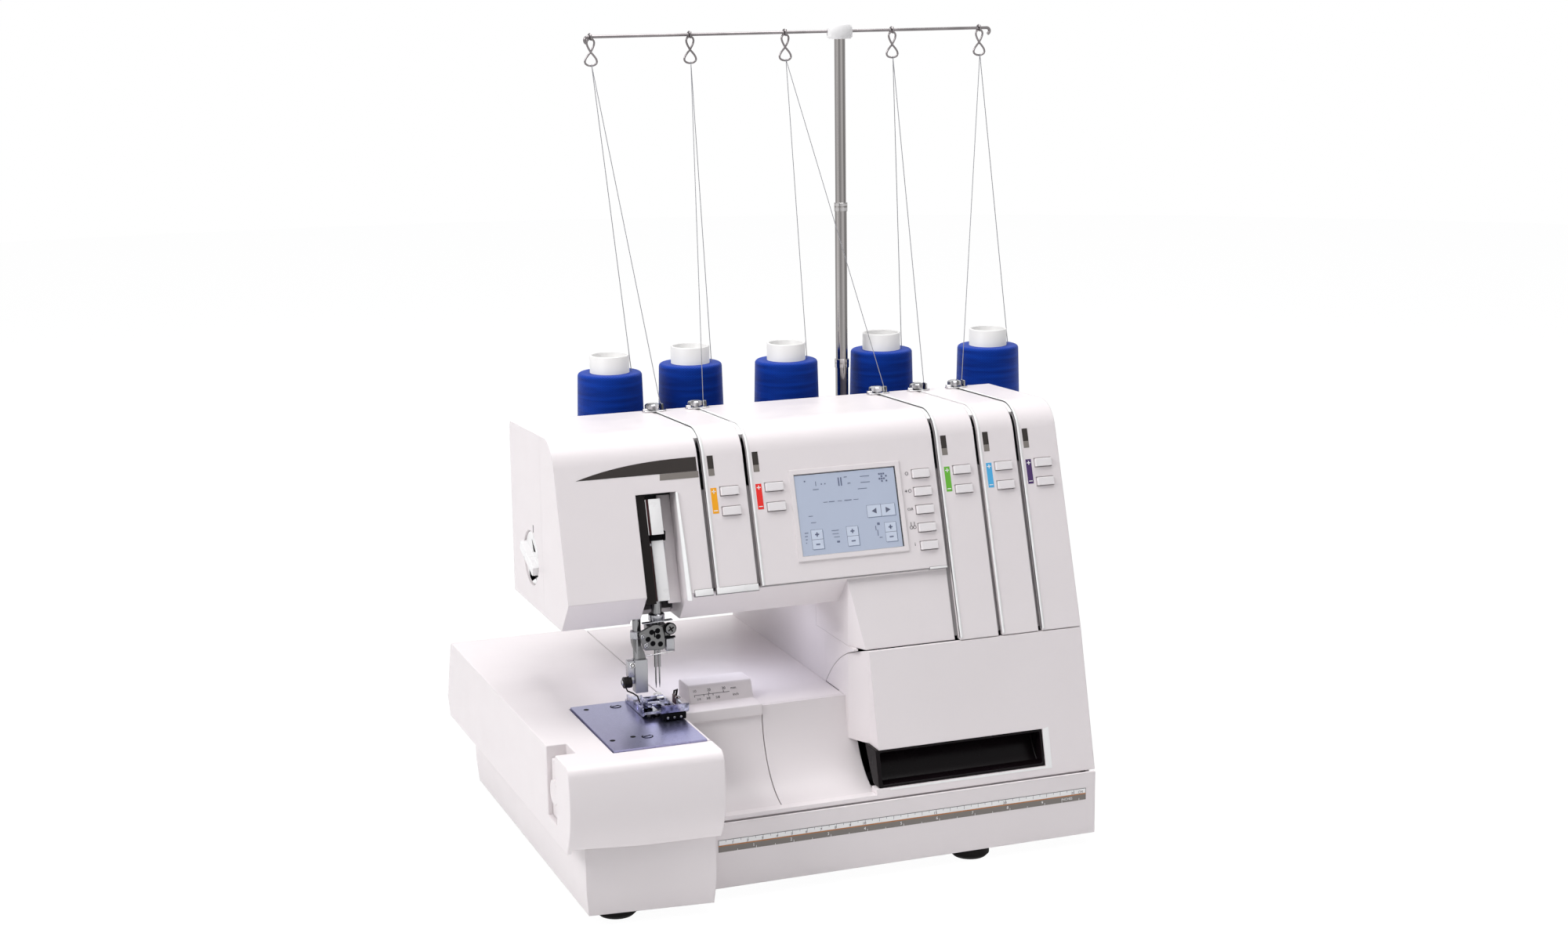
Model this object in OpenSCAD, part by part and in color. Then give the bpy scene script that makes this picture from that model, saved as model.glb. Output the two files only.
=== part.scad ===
// Overlock (serger) sewing machine with extension table, five spools and a telescopic thread stand.
// X runs right along the front from the ruler's zero mark, Y runs back, Z runs up from the ground.
// at_origin() then moves every piece so that the row's origin is under the middle of its box.

/* [Head and arm] */
// Left face of the head
head_left = -81.5; // [-90:0.5:-75]
// Right end of the casing
head_right = 267; // [262:0.5:275]
// Height of the seam between the upper front and the looper cover
seam_z = 144.2; // [142:0.1:146]
// Depth of that seam from the base's front face
seam_y = 25.5; // [24:0.1:27]
// Lean of the upper front
face_lean = 17.5; // [16.5:0.1:18.5]
// Height of the casing's top
head_top = 288.8; // [284:0.1:294]
// Radius where the front rolls into the top
brow_r = 22; // [14:0.5:26]
// Back face of the head
head_back = 172; // [166:0.5:176]
// Height of the arm's underside above the ground
arm_under = 170.5; // [167:0.5:173]
// Height of the front panel's lower edge
panel_z = 191; // [188:0.5:194]
// Depth of the chamfer from the panel's lower edge to the underside
chamfer_y = 57.7; // [54:0.1:62]
// Depth of the parting line between the front and rear casings
part_y = 98; // [94:0.5:102]
// Thickness of the moulded covers
wall = 3; // [2:0.1:4]
// Fall of the top towards the back
top_fall = 3.3; // [0:0.1:6]

/* [Pillar] */
// Left face of the pillar
pillar_left = 106; // [104:0.5:110]
// Where the pillar's bevelled corner meets its front
bevel_x = 114; // [112:0.5:118]
// Where that bevel meets the pillar's left face
bevel_y = 42; // [40:0.5:46]
// How far the pillar's front lies behind the panel above it
panel_step = 2.5; // [1:0.1:4]
// Right end of the wide panel that hangs over the pillar
panel_right = 178.8; // [178:0.1:180]
// Height of the rear housing below the spool tray
rear_top = 205; // [200:1:210]

/* [Thread slots] */
// Centres of the five thread slots
slot_x = [14.6, 45.1, 177.5, 208, 237.2];
// Width of a thread slot
slot_w = 3; // [2:0.1:4]
// Where the slots end on the top
slot_back = 163; // [158:1:165]
// Number of slots that end at the panel's lower edge
short_slots = 2; // [2:1:2]

/* [Keys] */
// Width of a key
key_w = 12; // [10:0.1:13]
// Height of a key
key_h = 5.4; // [4.5:0.1:6]
// How far a key stands out of the front
key_out = 1.8; // [1.2:0.1:2.5]
// Travel of a key
key_travel = 1; // [0.5:0.1:1.2]
// Distance of the tension keys from their slot
key_from_slot = 17.3; // [17:0.1:18]
// Heights of the plus and the minus keys
tension_key_z = [250.6, 238.4];
// Place of the menu keys along the front
menu_key_x = 165; // [164:0.5:166]
// Height of the lowest menu key
menu_key_z = 205.3; // [204:0.1:207]
// Distance between menu keys
menu_key_step = 11.3; // [10:0.1:12]

/* [Display] */
// Left edge of the touch screen
screen_left = 76.3; // [74:0.1:80]
// Width of the touch screen
screen_w = 71; // [66:0.5:73]
// Lower edge of the touch screen
screen_z = 206; // [204:0.5:210]
// Height of the touch screen along the front
screen_h = 53; // [48:0.5:54]

/* [Base] */
// Height of the rubber feet
foot_h = 8; // [6:0.5:10]
// Radius of the rubber feet
foot_r = 13; // [10:0.5:15]
// Right end of the base
base_right = 266; // [264:0.5:266.5]
// Back of the base and of the bed
base_back = 265; // [262:0.5:266]
// Height of the ledge on top of the base's front
ledge_z = 50.5; // [49.5:0.1:51]
// Left end of the base under the table
skirt_left = -90.5; // [-94:0.5:-86]
// Front left corner of the base under the table
skirt_front = -13.5; // [-16:0.5:-10]
// How much further forward the skirt's right corner lies
skirt_skew = 8.5; // [4:0.5:10]
// Height of the skirt's lower bevel
skirt_bevel_z = 24; // [20:0.5:28]
// Depth of the skirt's lower bevel
skirt_bevel = 1.5; // [1:0.5:4]
// Top of the deck that the table slides on
deck_z = 52; // [51.8:0.1:52.3]
// Right end of the skirt
skirt_right = -9; // [-10:0.5:-8]

/* [Bed, free arm and extension table] */
// Height of the bed
bed_z = 109.4; // [107:0.1:112]
// Left end of the table
table_left = -104; // [-110:0.5:-98]
// Right end of the table and left end of the fixed bed
table_right = -6; // [-7:0.1:-5.5]
// Front of the table's rounded nose at its left end
nose_front = -29.8; // [-32:0.1:-28]
// How much further forward the nose is at its right end
nose_skew = 4.2; // [2:0.1:6]
// Underside of the table
table_under = 52.4; // [52.4:0.1:53.5]
// Back of the table at its lowest edge
table_back = 289; // [280:1:295]
// Left end of the free arm
arm_left = -69; // [-71:0.5:-67]
// Front of the free arm and its needle plate
arm_front = -8; // [-9:0.5:-6]
// Back of the free arm and its needle plate
arm_back = 88; // [86:0.5:90]
// Right edge of the needle plate
plate_right = -9; // [-10:0.5:-8]
// Height of the needle plate above the bed
plate_rise = 1.1; // [0.5:0.1:1.5]
// Gap between the table and the free arm
arm_gap = 0.6; // [0.4:0.1:1]
// Travel of the table before it is clear of the free arm
table_travel = 72; // [50:1:80]

/* [Looper cover] */
// Lean of the looper cover's front
cover_lean = 13.8; // [13:0.1:14.5]
// Depth of the bed's front edge
bed_front = 47; // [44:0.5:50]
// Bottom of the block above the finger grip
block_z = 81.5; // [79:0.5:84]
// Left and right ends of the finger grip
grip_x = [112, 231.5];
// Bottom of the finger grip
grip_z = 57.5; // [57:0.5:60]
// Depth of the finger grip
grip_depth = 15; // [8:0.5:18]
// Place of the hinge line, back from the front and up from the ground
hinge_y = 6.5; // [6.3:0.1:6.8]
// Height of the hinge line
hinge_z = 52.4; // [52.2:0.1:52.6]
// Opening angle of the looper cover
cover_open = 78; // [40:1:80]
// Right edge of the seam guide's insert
guide_right = 47.5; // [44:0.5:52]
// Top of the seam guide's block
guide_top = 122; // [118:0.5:126]
// Front and back of the seam guide's block
guide_y = [66, 86];

/* [Needle and foot] */
// Depth of the needle line
needle_y = 62; // [61:0.1:63]
// Place of the middle between the two needles
needle_x = -17.7; // [-18.5:0.1:-17]
// Distance between the needles
needle_gap = 2.4; // [2:0.1:3]
// Height of the needle tips with the needle bar up
needle_tip = 125; // [121:0.5:128]
// Stroke of the needle bar
needle_stroke = 26; // [10:1:28]
// Radius of the needle bar
needle_bar_r = 3.4; // [3:0.1:3.6]
// Place of the presser bar
presser_x = -31.2; // [-32:0.1:-30.5]
// Radius of the presser bar
presser_r = 2.7; // [2.4:0.1:3]
// Lift of the presser foot
foot_lift = 6; // [3:0.5:7]
// Left and right edges of the needle channel in the head
channel_x = [-30.5, -3.7];
// Top of the needle channel
channel_top = 253; // [248:0.5:256]
// Depth of the needle channel behind the front
channel_depth = 36; // [33:0.5:40]

/* [Drive] */
// Depth of the main shaft
shaft_y = 150; // [148:0.5:153]
// Height of the main shaft
shaft_z = 85; // [84:0.5:87]
// Radius of the main shaft
shaft_r = 6; // [5:0.1:7]
// Running gap of a shaft in its bearing
run_gap = 0.05; // [0.02:0.01:0.09]
// Radius of the handwheel
wheel_r = 36; // [28:0.5:38]
// Width of the handwheel
wheel_w = 20; // [14:0.5:24]
// Radius of the shaft's pulley
pulley_r = 30; // [26:0.5:31]
// Radius of the motor's pulley
motor_pulley_r = 9; // [8:0.5:11]
// Distance from the main shaft back to the motor's shaft
motor_back = 66; // [62:0.5:70]

/* [Dial] */
// Depth of the foot pressure dial on the head's left face
dial_y = 126.7; // [122:0.1:130]
// Height of that dial
dial_z = 202.5; // [198:0.1:206]
// Radius of the dial's recess
dial_r = 18; // [15:0.5:19]

/* [Spools and stand] */
// Depth of the front row of spools
row_y = 207; // [206:0.5:209]
// How far the back row lies behind the front row
row_step = 15; // [12:0.5:16]
// Places of the five spools along the machine
spool_x = [-1, 62.2, 128.1, 207, 284.3];
// Top of the spool tray
tray_top = 214; // [212:0.5:216]
// Right end of the spool tray
tray_right = 312; // [310:0.5:320]
// Left end of the spool tray
tray_left = -28; // [-34:0.5:-26]
// Radius of a spool's thread at its top
thread_r = 22; // [19:0.5:23]
// Narrowing of the thread towards its top
thread_taper = 1.9; // [0:0.1:2]
// Height of the thread's top
thread_top = 307; // [297:0.5:312]
// Radius of a spool's core
core_r = 13.5; // [12:0.5:15]
// How far the core stands out of the thread at each end
core_out = 12; // [8:0.5:13]
// Place of the telescopic pole along the machine
pole_x = 173.5; // [172:0.5:176]
// Depth of the pole
pole_y = 215; // [214:0.5:216]
// Radii of the pole's three stages
pole_r = [4.6, 4.25, 3.85];
// Heights where the lower and middle stages end
stage_z = [303, 414];
// Height of the hook bar
bar_z = 532.5; // [520:0.5:545]
// Travel of each sliding stage
stage_travel = 85; // [40:1:90]
// Places of the wire hooks along the bar
hook_x = [-6, 64, 133, 213, 280];
// Radius of the hook bar's wire
wire_r = 1.1; // [0.9:0.1:1.4]
// Radius of the threads
thread_line_r = 0.3; // [0.2:0.05:0.4]

/* [Hidden] */
$fn = 48;
eps = 0.01;
gap = 0.4;
big = 600;
mid_x = (table_left + tray_right) / 2;
mid_y = (nose_front - nose_skew + table_back) / 2;
white = [0.86, 0.84, 0.85];
steel = [0.62, 0.63, 0.66];
dark = [0.12, 0.12, 0.13];

// Depth of the upper front and of the looper cover's front at a height
function face_y(z) = seam_y + tan(face_lean) * (z - seam_z);
function cover_y(z) = seam_y + tan(cover_lean) * (z - seam_z);
function arc(cx, cy, r, a0, a1, n) =
    [for (i = [0:n]) [cx + r * cos(a0 + (a1 - a0) * i / n), cy + r * sin(a0 + (a1 - a0) * i / n)]];

module at_origin() translate([-mid_x, -mid_y, 0]) children();
// A prism along X, Y or Z between two stations; the outlines are [y, z], [x, z] and [x, y]
module along_x(x0, x1, outline)
    translate([x0, 0, 0]) rotate([90, 0, 90]) linear_extrude(x1 - x0) polygon(outline);
module along_y(y0, y1, outline)
    translate([0, y1, 0]) rotate([90, 0, 0]) linear_extrude(y1 - y0) polygon(outline);
module along_z(z0, z1, outline)
    translate([0, 0, z0]) linear_extrude(z1 - z0) polygon(outline);
module block(low, high) translate(low) cube(high - low);
module rod_x(x0, x1, y, z, r) translate([x0, y, z]) rotate([0, 90, 0]) cylinder(r = r, h = x1 - x0);
module rod_y(x, y0, y1, z, r) translate([x, y1, z]) rotate([90, 0, 0]) cylinder(r = r, h = y1 - y0);
module rod_z(x, y, z0, z1, r) translate([x, y, z0]) cylinder(r = r, h = z1 - z0);
// Local X along the machine, Y up the leaning front, Z out of it
module on_face(x, z) translate([x, face_y(z), z]) rotate([90 - face_lean, 0, 0]) children();

// ---- casing ----
brow_turn = 90 - face_lean;
brow_steps = 16;
brow_z = head_top - brow_r;
brow_yc = face_y(head_top) + brow_r * tan(brow_turn / 2);
function brow(inset) = arc(brow_yc, brow_z, brow_r - inset, 180 - face_lean, 90, brow_steps);
function top_back(inset) = [[head_back - 3 - inset, head_top - top_fall - inset],
                            [head_back - inset, head_top - top_fall - 3 - inset]];
face_inset = 1 / cos(face_lean);
function head_outline(inset) =
    concat([[face_y(panel_z + inset) + inset * face_inset, panel_z + inset * 0.4]], brow(inset), top_back(inset),
           [[head_back - inset, arm_under + inset], [chamfer_y + inset * 0.5, arm_under + inset]]);
function pillar_outline(inset, step, low) =
    concat([[face_y(low) + step + inset * face_inset, low]],
           step > 0 ? [[face_y(panel_z + 4) + step + inset * face_inset, panel_z + 4]] : brow(inset),
           step > 0 ? [] : top_back(inset),
           [[head_back - inset, step > 0 ? panel_z + 4 : head_top - top_fall - 4 - inset],
            [head_back - inset, low]]);
// Plan of the pillar with its bevelled front corner
function pillar_plan(inset) =
    [[bevel_x + inset * 1.2, -50], [bevel_x + inset * 1.2, seam_y - 10],
     [bevel_x + inset * 1.2, seam_y], [pillar_left + inset, bevel_y + inset * 0.3],
     [pillar_left + inset, head_back + 200], [head_right - inset, head_back + 200], [head_right - inset, -50]];

module upper_solid(inset, low) {
    along_x(head_left + inset, head_right - inset, head_outline(inset));
    along_x(panel_right + inset, head_right - inset, pillar_outline(inset, 0, low));
    intersection() {
        along_x(pillar_left + inset, panel_right + inset + 1, pillar_outline(inset, panel_step, low));
        along_z(0, panel_z + 10, pillar_plan(inset));
    }
}
module upper_shell() difference() {
    upper_solid(0, seam_z);
    upper_solid(wall, seam_z - 1);
}
module thread_slots() for (i = [0 : len(slot_x) - 1])
    block([slot_x[i] - slot_w / 2, 0, i < short_slots ? panel_z - 1 : seam_z - 1],
          [slot_x[i] + slot_w / 2, slot_back, head_top + 1]);
module slot_depth() along_x(head_left - 1, head_right + 1,
    concat([[face_y(seam_z - 2) - 5, seam_z - 2], [face_y(seam_z - 2) + 9, seam_z - 2]],
           [[face_y(brow_z) + 9, brow_z - 6], [brow_yc, head_top - 9], [head_back, head_top - top_fall - 9],
            [head_back, head_top + 5], [face_y(head_top) - 20, head_top + 5]]));
module needle_channel() {
    along_x(channel_x[0], channel_x[1],
        [[face_y(panel_z) - 20, panel_z - 30], [face_y(channel_top) - 20, channel_top],
         [face_y(channel_top) + channel_depth - 10, channel_top], [face_y(panel_z) + channel_depth, channel_top - 30],
         [face_y(panel_z) + channel_depth, panel_z - 30]]);
    block([presser_x - presser_r - 3, needle_y - 7, arm_under - 1], [channel_x[0] + 1, needle_y + 7, arm_under + wall + 1]);
}
screen_t = 1.5;
// Holes for the keys, clear of them all round
module key_hole() translate([-key_w / 2 - gap, -key_h / 2 - gap, -10]) cube([key_w + 2 * gap, key_h + 2 * gap, 20]);
module front_openings() {
    for (i = [0:4], z = tension_key_z) on_face(slot_x[i] + key_from_slot, z) key_hole();
    for (i = [0:4]) on_face(menu_key_x, menu_key_z + i * menu_key_step) key_hole();
    on_face(screen_left, screen_z) translate([0, 0, -screen_t]) cube([screen_w, screen_h, 5]);
    on_face(screen_left, screen_z) translate([3, 3, -10]) cube([screen_w - 6, screen_h - 6, 12]);
}
bezel = 3.2;
bezel_out = 0.8;
module screen_bezel() on_face(screen_left, screen_z) translate([-bezel, -bezel, -wall / 2])
    cube([screen_w + 2 * bezel, screen_h + 2 * bezel, wall / 2 + bezel_out]);
module front_casing() color(white) at_origin() difference() {
    union() {
        screen_bezel();
        intersection() {
            difference() {
                upper_shell();
                intersection() {
                    thread_slots();
                    slot_depth();
                }
            }
            block([-big, -big, 0], [big, part_y, big]);
        }
        intersection() {
            block([channel_x[1], 0, arm_under], [channel_x[1] + 1.5, face_y(panel_z) + channel_depth - 4, channel_top + 4]);
            upper_solid(0.5, seam_z);
        }
    }
    needle_channel();
    front_openings();
}
module rear_casing() color(white) at_origin() difference() {
    union() {
        intersection() {
            difference() {
                upper_shell();
                intersection() {
                    thread_slots();
                    slot_depth();
                }
            }
            block([-big, part_y, seam_z], [big, big, big]);
        }
        difference() {
            block([pillar_left, part_y, bed_z], [head_right, base_back, rear_top]);
            block([pillar_left + wall, part_y - 1, bed_z - 1], [head_right - wall, base_back - wall, rear_top - wall]);
            block([pillar_left + wall, part_y - 1, bed_z - 1], [head_right - wall, head_back - wall, rear_top + 1]);
            block([0, 0, seam_z], [big, head_back - eps, big]);
        }
        // right side and back walls below the bed
        difference() {
            block([head_right - wall, bevel_y + 20, ledge_z], [head_right, base_back, bed_z]);
            rod_x(0, big, hinge_y, hinge_z, cover_reach + gap);
        }
        block([pillar_left, base_back - wall, ledge_z], [head_right, base_back, bed_z]);
        // side walls in front of the parting line, below the seam
        for (x = [pillar_left, head_right - wall]) difference() {
            block([x, bevel_y - 10, bed_z], [x + wall, part_y, seam_z - eps]);
            rod_x(0, big, hinge_y, hinge_z, cover_reach + gap);
        }
        // gland ring around the main shaft and the seat of the dial
        rod_x(head_right - wall - 4, head_right - wall, shaft_y, shaft_z, shaft_r + 6);
        rod_x(head_left, head_left + 9, dial_y, dial_z, dial_r + wall);
    }
    rod_x(head_left - 1, head_left + 6, dial_y, dial_z, dial_r);
    rod_x(head_left - 1, head_left + 20, dial_y, dial_z, 4 + run_gap);
    rod_x(head_right - 20, head_right + 1, shaft_y, shaft_z, shaft_r + run_gap);
    block([head_right - wall - 1, switch_y - switch_l / 2, switch_z - switch_h / 2],
          [head_right + 1, switch_y + switch_l / 2, switch_z + switch_h / 2]);
    block([head_right - wall - 1, inlet_y - 14, switch_z - 9], [head_right + 1, inlet_y + 14, switch_z + 9]);
    rod_z(pole_x, pole_y, 0, big, pole_r[0] + bore_gap);
    block([lever_x - 6, head_back - wall - 1, lever_z - 8], [lever_x + 6, head_back + 1, lever_z + 8]);
    translate([head_left + 60, 0, 0]) for (i = [0:5])
        block([i * 7, head_back - wall - 1, 225], [i * 7 + 3, head_back + 1, 262]);
}

// ---- base, bed, table ----
tray_wall = 2.2;
function skirt_plan(inset) =
    [[skirt_left + inset, skirt_front + inset], [skirt_right - inset, skirt_front - skirt_skew + inset],
     [skirt_right - inset, base_back - inset], [skirt_left + inset, base_back - inset]];
module base_tray() color(white) at_origin() difference() {
    union() {
        hull() {
            along_z(foot_h, foot_h + 1, skirt_plan(skirt_bevel));
            along_z(skirt_bevel_z, skirt_bevel_z + 1, skirt_plan(0));
        }
        along_z(skirt_bevel_z, deck_z, skirt_plan(0));
        block([skirt_right - 6, 0, foot_h], [base_right, base_back, ledge_z]);
        hinge_lug_solids();
    }
    difference() {
        union() {
            along_z(foot_h + wall, deck_z - wall, skirt_plan(skirt_bevel + wall));
            block([skirt_right - 3, tray_wall, foot_h + wall], [base_right - wall, base_back - wall, deck_z + 1]);
        }
        hinge_lug_solids();
        for (p = boss_places) rod_z(p[0], p[1], foot_h, frame_z, 7);
    }
    for (x = hinge_lugs) rod_x(x - 1, x + lug_w + 1, hinge_y, hinge_z, hinge_pin_r + run_gap);
    // relief for the cover's lowest corner as it swings down
    rod_x(base_right - wall - 1, base_right + 1, hinge_y, hinge_z, sill_reach + gap);
}
sill_gap = 0.8;
sill_reach = norm([hinge_y - cover_y(ledge_z), hinge_z - ledge_z - sill_gap]);
// Each lug reaches the hinge line from behind, so that the cover can swing down past it
module hinge_lug_solids() for (x = hinge_lugs) {
    rod_x(x, x + lug_w, hinge_y, hinge_z, lug_r);
    block([x, hinge_y, hinge_z - lug_r], [x + lug_w, hinge_y + 9, hinge_z + lug_r]);
    block([x, hinge_y + 5, foot_h + 1], [x + lug_w, hinge_y + 9, hinge_z]);
}
foot_places = [[-66, 6], [181, 15], [-66, 243], [236, 243]];
module rubber_feet() color(dark) at_origin()
    for (p = foot_places) translate([p[0], p[1], 0])
        rotate_extrude() polygon([[0, 0], [foot_r - 2, 0], [foot_r, 2], [foot_r, foot_h], [0, foot_h]]);

// The nose bulges most at nose_mid, and falls back further below it than above
nose_mid = table_under + 31;
nose_fall = [10, 1.75];
nose_edge_r = 7.4;
nose_shoulder = bed_z - 6;
function nose(dy) = concat([[60, table_under]],
    [for (i = [8:-1:1]) [nose_front + dy + nose_fall[0] * pow(i / 8, 2), nose_mid - (nose_mid - table_under) * i / 8]],
    [for (i = [0:3]) [nose_front + dy + nose_fall[1] * pow(i / 4, 2), nose_mid + (nose_shoulder - nose_mid) * i / 4]],
    arc(nose_front + nose_edge_r + 1.6 + dy, bed_z - nose_edge_r, nose_edge_r, 168, 90, 6), [[60, bed_z]]);
module table_solid() {
    hull() {
        along_x(table_left, table_left + 1, nose(0));
        along_x(table_right - 1, table_right, nose(-nose_skew));
    }
    along_x(table_left, table_right,
        [[59, table_under], [table_back - 6, table_under], [table_back, table_under + 13.6],
         [table_back - 14, bed_z - 4], [table_back - 17, bed_z], [59, bed_z]]);
}
module table_cavity() {
    block([table_left + wall, nose_front + 8, table_under - 1], [table_right - wall, arm_front - 4, bed_z - 18]);
    block([table_left + wall, arm_front - 4, table_under - 1], [arm_left - wall - arm_gap, arm_back + 4, bed_z - 18]);
    block([table_left + wall, arm_back + 4, table_under - 1], [table_right - wall, table_back - 24, bed_z - wall]);
}
module extension_table() color(white) at_origin() difference() {
    table_solid();
    difference() {
        table_cavity();
        block([table_left, 2, table_under], [table_left + 20, 24, bed_z]);
    }
    block([arm_left - arm_gap, arm_front - arm_gap, table_under - 1], [table_right + 1, arm_back + arm_gap, bed_z + 1]);
    // pocket of the release button
    block([table_left - 1, button_y - 10, table_under + 12], [table_left + 13, button_y + 10, bed_z + 1]);
}
button_y = 10.7;
button_travel = 2.5;
module release_button() color(white) at_origin() difference() {
    union() {
        block([table_left + 3.2, button_y - 9.5, table_under + 12.5], [table_left + 12.6 - button_travel, button_y + 9.5, bed_z - 8]);
        rod_x(table_left + 1, table_left + 8, button_y, table_under + 30, 8);
    }
    translate([table_left - 36, button_y, table_under + 30]) sphere(r = 38, $fn = 64);
}
module free_arm() color(white) at_origin() difference() {
    block([arm_left, arm_front, table_under + 6], [table_right - gap, arm_back, bed_z]);
    block([arm_left + wall, arm_front + wall, table_under + 6 + wall], [0, arm_back - wall, bed_z - plate_t + plate_rise - 1]);
    block([arm_left - 1, arm_front - 1, bed_z + plate_rise - plate_t], [plate_right + 0.2, arm_back + 1, bed_z + 1]);
    // opening under the plate for the needles, the feed dogs and the knives
    block([dog_x[0] - dog_w, needle_y + dog_y[0] - 4, bed_z - 6], [plate_right + 0.2, needle_y + dog_y[1] + 4, bed_z]);
    block([plate_right - 1, needle_y + knife_y[0] - 1, bed_z - 6], [table_right + 1, needle_y + 3, bed_z + 1]);
}
plate_t = 3;
dog_x = [-28, -23.2, -13.3];
dog_w = 2.4;
dog_y = [-14, 15.9];
knife_y = [-16, -1];
module needle_plate() color(steel) at_origin() {
    difference() {
        block([arm_left, arm_front, bed_z + plate_rise - plate_t], [plate_right, arm_back, bed_z + plate_rise]);
        for (x = dog_x)
            block([x - dog_w / 2 - 0.6, needle_y + dog_y[0] - 4, 0], [x + dog_w / 2 + 0.6, needle_y + dog_y[1] + 4, big]);
        block([needle_x - 2.6, needle_y - 3, 0], [needle_x + 2.6, needle_y + 3, big]);
        for (p = plate_screws) rod_z(p[0], p[1], 0, big, 3.1);
        for (p = plate_holes) rod_z(p[0], p[1], 0, big, 1.2);
        block([plate_right - 2.4, needle_y - 15, 0], [0, needle_y + 2, big]);
    }
    for (p = plate_screws) difference() {
        rod_z(p[0], p[1], bed_z - plate_t + plate_rise, bed_z + plate_rise + 0.4, 3);
        block([p[0] - 3, p[1] - 0.5, bed_z + plate_rise - 0.5], [p[0] + 3, p[1] + 0.5, big]);
    }
}
plate_screws = [[-41.5, 78.3], [-41.5, 11.2]];
plate_holes = [[-61, 79], [-64, 11.6], [-50, 14]];
module bed_cover() color(white) at_origin() {
    block([table_right + gap, bed_front + sheet + gap, bed_z - wall], [pillar_left, base_back, bed_z]);
    block([pillar_left, part_y, bed_z - wall], [pillar_left + wall, base_back - wall, bed_z - eps]);
    block([table_right + gap, base_back - wall, ledge_z], [pillar_left - eps, base_back, bed_z - wall]);
    block([table_right + gap, arm_back + 6, deck_z], [table_right + gap + wall, base_back - wall, bed_z - wall]);
}

// ---- looper cover ----
// The cover's deepest edges turn on this radius, so that they pass under the seam as it opens
cover_reach = norm([seam_y - 0.6 - hinge_y, seam_z - hinge_z]);
hinge_lugs = [124, 246];
lug_w = 8;
lug_r = 2.1;
hinge_pin_r = 1.2;
sheet = 2.4;
valley_top = bed_z - 1;
valley_steps = 20;
// The hollow sheet from the bed's edge down to the ledge, a quarter ellipse
function valley(inset) =
    [for (i = [0:valley_steps]) let (a = -90 * i / valley_steps)
        [cover_y(ledge_z) + 1.5 + (bed_front - cover_y(ledge_z) - 1.5 + inset) * cos(a),
         valley_top + (valley_top - ledge_z - 1.2 + inset) * sin(a)]];
valley_sheet = concat([[bed_front, bed_z]], valley(0),
    [[cover_y(ledge_z + sill_gap), ledge_z + 1.2], [cover_y(ledge_z + sill_gap), ledge_z + sill_gap]],
    [for (i = [valley_steps:-1:0]) let (p = valley(sheet)[i])
        [p[0] + (i == valley_steps ? 2 : 0), max(p[1], ledge_z + sill_gap)]],
    [[bed_front + sheet, bed_z]]);
module cover_limits() intersection() {
    rod_x(-10, big, hinge_y, hinge_z, cover_reach);
    block([-10, -10, ledge_z + sill_gap], [head_right - eps, big, seam_z - 0.6]);
}
// All that lies behind the leaning front of the cover, or behind a plane inset from it
module behind_front(inset) along_x(-big, big,
    [[cover_y(0) + inset, 0], [cover_y(seam_z + 9) + inset, seam_z + 9], [big, seam_z + 9], [big, 0]]);
module cover_block(inset) intersection() {
    block([pillar_left + inset, -20, block_z + inset], [head_right - inset, bevel_y + 60, seam_z]);
    along_z(0, big, pillar_plan(inset));
}
module looper_cover() color(white) at_origin() {
    intersection() {
        cover_limits();
        behind_front(0);
        difference() {
            union() {
                difference() {
                    cover_block(0);
                    intersection() {
                        cover_block(wall);
                        behind_front(wall);
                    }
                    block([pillar_left - 1, bevel_y + 16, 0], [head_right - wall, big, bed_z + gap]);
                }
                along_x(guide_right + gap, grip_x[0], valley_sheet);
                // sill below the grip, and the front and the side wall to the grip's right
                block([table_right + gap, -20, ledge_z], [head_right, cover_y(ledge_z) + 8, grip_z - 3.5]);
                block([grip_x[0] - 2, -20, ledge_z], [head_right, cover_y(ledge_z) + 10, grip_z]);
                block([grip_x[1], -20, ledge_z], [head_right, cover_y(block_z) + wall, block_z + wall]);
                block([head_right - wall, -20, ledge_z], [head_right, big, block_z + wall]);
            }
            for (x = hinge_lugs) {
                rod_x(x - gap, x + lug_w + gap, hinge_y, hinge_z, lug_r + gap);
                block([x - gap, hinge_y - lug_r - gap, ledge_z - 1], [x + lug_w + gap, big, hinge_z + lug_r + gap]);
            }
        }
    }
    for (x = hinge_lugs) rod_x(x - 2, x + lug_w + 2, hinge_y, hinge_z, hinge_pin_r);
}
module grip_insert() color(dark) at_origin() difference() {
    along_x(grip_x[0] + 0.1, grip_x[1] - 0.1, [[cover_y(grip_z) + 0.6, grip_z + 0.1], [cover_y(block_z) + 0.6, block_z - 0.1],
        [cover_y(block_z) + grip_depth + 4, block_z - 0.1], [cover_y(grip_z) + grip_depth, grip_z + 6],
        [cover_y(grip_z) + grip_depth - 4, grip_z + 0.1]]);
    along_x(grip_x[0] + 3, grip_x[1] - 2, [[cover_y(grip_z) - 1, grip_z + 2], [cover_y(block_z) - 1, block_z - 2],
        [cover_y(block_z) + grip_depth + 2, block_z - 2], [cover_y(grip_z) + grip_depth - 2, grip_z + 6],
        [cover_y(grip_z) + grip_depth - 6, grip_z + 2]]);
}
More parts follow.
